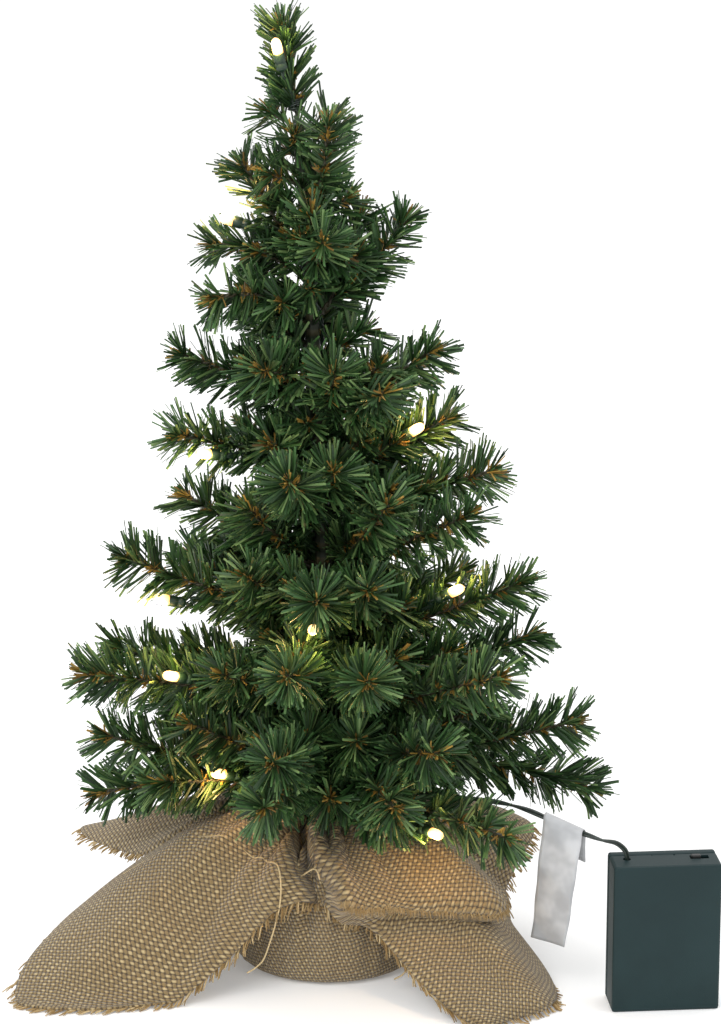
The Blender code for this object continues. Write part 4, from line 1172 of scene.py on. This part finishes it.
# fine fibres stand along the turned edge of the right front petal
edge_row = int(np.argmin(np.abs(np.linspace(0, 6, FLARE_ROWS + 1)[1:] - 4.0))) + SACK_ROWS
for column in np.flatnonzero((ring > -84) & (ring < -26)):
    for _ in range(7):
        share = chance.random()
        at = cloth_rows[edge_row, column] * (1 - share) + cloth_rows[edge_row, (column + 1) % AROUND] * share
        out = directions[column] * 0.35 + chance.normal(0, 0.22, 3) + (0, 0, -1.0)
        out /= length_of(out)
        at = at + directions[column] * 0.0004 + chance.normal(0, 0.0004, 3)
        length = chance.uniform(0.0020, 0.0046)
        fringe_parts.append(strand_of(at, out, length, FIBRE_RADIUS, 0.1, 0.3 + 0.5 * chance.random()))
points, triangles, marks, uv = join_parts(fringe_parts)
fringe = add_mesh("burlap_fringe", points, triangles, marks, uv, smooth=True)
jute_finish = Finish("jute", Roughness=0.85)
strand = jute_finish.noise(1500.0, 3.0, 0.7)
tone = jute_finish.node("ShaderNodeValToRGB", {"stops": (
    (0.0, rgb(126, 100, 58)), (0.5, rgb(164, 138, 92)), (1.0, rgb(204, 184, 142)),
)}, {"Fac": jute_finish.mark("shade")}).outputs["Color"]
jute_finish.paint(Base_Color=jute_finish.mix(strand.clear(0.3, 0.8) * 0.5, tone, rgb(120, 92, 54)))
jute_finish.bump(strand, 0.0002)
wear(fringe, jute_finish)
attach(fringe, "root")
print("fringe threads:", len(fringe_parts))

# %% Loose threads laid over the cloth
cloth_faces = [tuple(int(x) for x in t) for t in cloth_triangles]
cloth_tree = BVHTree.FromPolygons([Vector(p) for p in cloth_points], cloth_faces)


def laid(points, rise=0.0011):
    """The points moved onto the cloth, straight down or in towards the trunk."""
    found = []
    for x, y, z in points:
        hit = cloth_tree.ray_cast(Vector((x, y, z + 0.05)), Vector((0, 0, -1)), 0.12)[0] if z > 0.045 else None
        if hit is None:
            out = Vector((x, y, 0)).normalized()
            hit = cloth_tree.ray_cast(Vector((0, 0, z)) + out * 0.2, -out, 0.2)[0]
            found.append((hit or Vector((x, y, z))) + out * rise)
        else:
            found.append(hit + UP * rise)
    return found


# each thread: the places it is laid over (x, y), then the places where it hangs free (x, y, z)
LOOSE_THREADS = (
    (
        ((-0.094, -0.019), (-0.083, -0.021), (-0.067, -0.022), (-0.055, -0.024), (-0.043, -0.027),
         (-0.033, -0.031), (-0.027, -0.036)),
        ((-0.0222, -0.0490, 0.0615), (-0.0208, -0.0530, 0.0540), (-0.0215, -0.0540, 0.0440),
         (-0.0239, -0.0540, 0.0340), (-0.0265, -0.0530, 0.0250), (-0.0292, -0.0520, 0.0172),
         (-0.0330, -0.0530, 0.0135), (-0.0365, -0.0535, 0.0115)),
    ),
    (((-0.017, -0.040), (-0.012, -0.043)), ((-0.0060, -0.0500, 0.0600), (-0.0035, -0.0530, 0.0560))),
    ((), ((0.0300, -0.0475, 0.0060), (0.0344, -0.0490, 0.0095), (0.0385, -0.0495, 0.0160))),
)
loose = []
for over, free in LOOSE_THREADS:
    lying = [tuple(p) for p in smooth_route([(x, y, 0.09) for x, y in over], 0.004)] if over else []
    path = smooth_route(laid(lying) + [Vector(p) for p in free], 0.0012)
    sway = np.sin(np.linspace(0, 9, len(path)))[:, None] * np.array((0.0003, 0.0003, 0.0))
    loose.append((*tube_rings(path + sway, 0.00040, 6), {"shade": 0.95}))
points, triangles, marks, uv = join_parts(loose)
threads = add_mesh("loose_threads", points, triangles, marks, uv, smooth=True)
wear(threads, jute_finish)
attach(threads, "root")
print("loose threads:", len(loose))

# %% Tie round the neck
tie_parts = []
for strand_number in range(3):
    path = []
    for i in range(241):
        share = i / 240
        angle = 360 * 3 * share + 20
        rise = NECK - 0.0022 + 0.0038 * share
        twist = 2 * math.pi * (60 * share + strand_number / 3)
        out = NECK_RADIUS + 0.0016 + 0.00045 * math.cos(twist)
        path.append(around(angle) * out + UP * (rise + 0.00045 * math.sin(twist)))
    tie_parts.append((*tube_rings(path, 0.00046, 5), {"shade": 0.55 + 0.15 * strand_number}))
points, triangles, marks, uv = join_parts(tie_parts)
tie = add_mesh("neck_twine", points, triangles, marks, uv, smooth=True)
wear(tie, jute_finish)
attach(tie, "root")
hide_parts("neck_tie")
print("tie: three turns of three-strand twine")

# %% [markdown]
# ## The tag
# A strip of white satin tape is folded over the lead. Its cut ends are straight, it turns a little as it
# hangs, and its weave is so fine that it shows only as a soft sheen. It is left blank.

# %% Tag
TAG_WIDTH, TAG_LENGTH, TAG_AT = 0.019, 0.056, 9.75
TAG_BACK = 0.014              # the short leg behind the lead
TAG_SWING = -0.007            # how far its free end hangs towards the tree
TAG_TWIST = 0.30              # how far its free end turns, in radians
tag_i = int(TAG_AT)
tag_point = Vector(LEAD_ROUTE[tag_i]).lerp(Vector(LEAD_ROUTE[tag_i + 1]), TAG_AT - tag_i)
tag_along = (Vector(LEAD_ROUTE[tag_i + 1]) - Vector(LEAD_ROUTE[tag_i])).normalized()
bend = LEAD_RADIUS + 0.0010 + 0.0003
tag_profile = [(-bend - 0.0006, -TAG_BACK), (-bend - 0.0003, -0.0105), (-bend, -0.007), (-bend, -0.0035)]
tag_profile += [(-bend, 0.0)]
tag_profile += [(-bend * math.cos(math.pi * k / 8), bend * math.sin(math.pi * k / 8)) for k in range(1, 8)]
tag_profile += [(bend, -TAG_LENGTH * k / 36) for k in range(37)]
level = Vector((tag_along.x, tag_along.y, 0)).normalized()
front = Vector((level.y, -level.x, 0))
tag_rows = []
for out, rise in tag_profile:
    fall = min(max(0.0, -rise) / TAG_LENGTH, 1.0) if out > 0 else 0.0
    centre = tag_point + front * (out + 0.002 * math.sin(math.pi * 1.4 * fall)) + UP * rise
    centre += level * TAG_SWING * fall**1.3
    lay = tag_along.lerp(level, min(1.0, 3 * fall)).normalized()
    across = lay * math.cos(TAG_TWIST * fall) + front * math.sin(TAG_TWIST * fall)
    out_of = across.cross(UP).normalized()
    row = []
    for j in range(13):
        s = j / 12 - 0.5
        cup = 0.0010 * math.sin(math.pi * fall) * (4 * s * s - 0.4) + 0.0003 * math.sin(40 * rise * 8 + 5 * s)
        row.append(centre + across * TAG_WIDTH * s - out_of * cup * (1 if out > 0 else 0.2))
    tag_rows.append(row)
tag_rows = np.array(tag_rows)
rows, columns = tag_rows.shape[:2]
i, k = (g.ravel() for g in np.meshgrid(np.arange(rows - 1), np.arange(columns - 1), indexing="ij"))
a, b, c, d = i * columns + k, i * columns + k + 1, (i + 1) * columns + k + 1, (i + 1) * columns + k
tag_triangles = np.concatenate([np.stack([a, b, c], 1), np.stack([a, c, d], 1)])
grid = np.stack(
    np.meshgrid(np.arange(rows) / (rows - 1), np.arange(columns) / (columns - 1) * 0.26, indexing="ij"), 2
)
tag_uv = grid.reshape(-1, 2)[tag_triangles]
tag = add_mesh("tape_tag", tag_rows.reshape(-1, 3), tag_triangles, {}, tag_uv, smooth=True)
shell = tag.modifiers.new("tape", "SOLIDIFY")
shell.thickness = 0.00028
shell.offset = 0.0
tag_finish = Finish("satin_tape", Roughness=0.5, Sheen_Weight=0.3)
crease = tag_finish.noise(90.0, 2.0)
thread = tag_finish.noise(3200.0, 2.0)
# painted shade: the tape is greyer in the low parts of the crease pattern that the bump also follows
tag_finish.paint(Base_Color=tag_finish.mix(crease.clear(0.35, 0.7), rgb(162, 164, 167), rgb(186, 188, 190)))
tag_finish.bump(crease * 0.7 + thread * 0.1, 0.0005)
wear(tag, tag_finish)
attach(tag, "root")
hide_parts("cord_tag")

# %% [markdown]
# ## The battery box
# The box is moulded in dark green plastic with a fine, even texture. The frame's own parts have the right
# shape, with the seam, the latch, the hole and the switch, so they keep their shape and get real finishes.

# %% Battery box finishes
box_finish = Finish("moulded_box", Roughness=0.5, IOR=1.36)
spark = box_finish.noise(2200.0, 2.0)
cloud = box_finish.noise(35.0, 3.0)
scuff = box_finish.noise(260.0, 5.0, 0.7)
box_colour = box_finish.mix(cloud.clear(0.3, 0.75), rgb(14, 37, 39), rgb(20, 43, 45))
box_finish.paint(
    Base_Color=box_finish.mix(scuff.clear(0.66, 0.80) * 0.25, box_colour, rgb(48, 72, 72)),
    Roughness=0.46 + spark * 0.12 + cloud * 0.06,
)
box_finish.bump(spark, 0.00006, 0.8)
knob_finish = Finish("switch_plastic", Roughness=0.42)
tooth = knob_finish.noise(1800.0)
knob_finish.paint(Base_Color=knob_finish.mix(tooth, rgb(14, 15, 15), rgb(28, 30, 30)))
knob_finish.bump(tooth, 0.00005)
for node in ("battery_case", "battery_cover"):
    wear(frame["nodes"][node], box_finish)
for node in ("switch_slider", "switch_body"):
    wear(frame["nodes"][node], knob_finish)

cell_finish = Finish("cell_sleeve", Metallic=0.75, Roughness=0.3)
grain = cell_finish.noise(500.0)
height = cell_finish.height()
cell_finish.paint(
    Base_Color=cell_finish.mix(height.clear(0.036, 0.0364), rgb(60, 64, 70), rgb(176, 148, 92)),
    Roughness=0.25 + grain * 0.15,
)
contact_finish = Finish("spring_steel", Metallic=1.0, Roughness=0.3)
brushed = contact_finish.noise(1400.0)
contact_finish.paint(
    Base_Color=contact_finish.mix(brushed, rgb(150, 152, 154), rgb(205, 206, 208)), Roughness=0.22 + brushed * 0.2
)
for number in (1, 2, 3):
    wear(frame["nodes"][f"cell_{number}"], cell_finish)
for node in ("contact_top", "contact_bottom"):
    wear(frame["nodes"][node], contact_finish)
plaster_finish = Finish("cast_weight", Roughness=0.8)
pores = plaster_finish.noise(240.0)
plaster_finish.paint(Base_Color=plaster_finish.mix(pores, rgb(168, 164, 156), rgb(206, 203, 196)))
plaster_finish.bump(pores, 0.0004)
wear(frame["nodes"]["base_weight"], plaster_finish)
print("box, cells and weight finished")

# %% [markdown]
# ## Table and light
# A pale table and three large soft lights show the needles without hard shadows, and a bright
# surrounding keeps the background near white.

# %% Stage
floor_mesh = bpy.data.meshes.new("table")
half = 30.0
floor_corners = [(-half, -half, 0), (half, -half, 0), (half, half, 0), (-half, half, 0)]
floor_mesh.from_pydata(floor_corners, [], [(0, 1, 2, 3)])
floor = bpy.data.objects.new("table", floor_mesh)
bpy.context.scene.collection.objects.link(floor)
floor_finish = Finish("pale_table", Base_Color=(0.88, 0.88, 0.88, 1), Roughness=0.9, Emission_Strength=0.16)
floor_mesh.materials.append(floor_finish.material)

world = bpy.data.worlds.new("soft_room")
world.use_nodes = True
world.node_tree.nodes["Background"].inputs["Color"].default_value = (1.0, 1.0, 1.0, 1.0)
world.node_tree.nodes["Background"].inputs["Strength"].default_value = 1.0
bpy.context.scene.world = world
bpy.context.scene.view_settings.view_transform = "Standard"

SOFTBOXES = (
    ("key", (-0.75, -1.25, 1.35), 1.1, 15.0),
    ("fill", (1.30, -1.00, 0.90), 1.2, 5.0),
    ("top", (0.15, 0.55, 1.60), 1.4, 8.0),
)
for name, place, size, power in SOFTBOXES:
    soft = bpy.data.lights.new(name, "AREA")
    soft.shape, soft.size, soft.energy = "DISK", size, power
    lamp = bpy.data.objects.new(name, soft)
    lamp.location = place
    lamp.rotation_euler = (AIM - Vector(place)).to_track_quat("-Z", "Y").to_euler()
    bpy.context.scene.collection.objects.link(lamp)
print("soft lights:", len(SOFTBOXES))
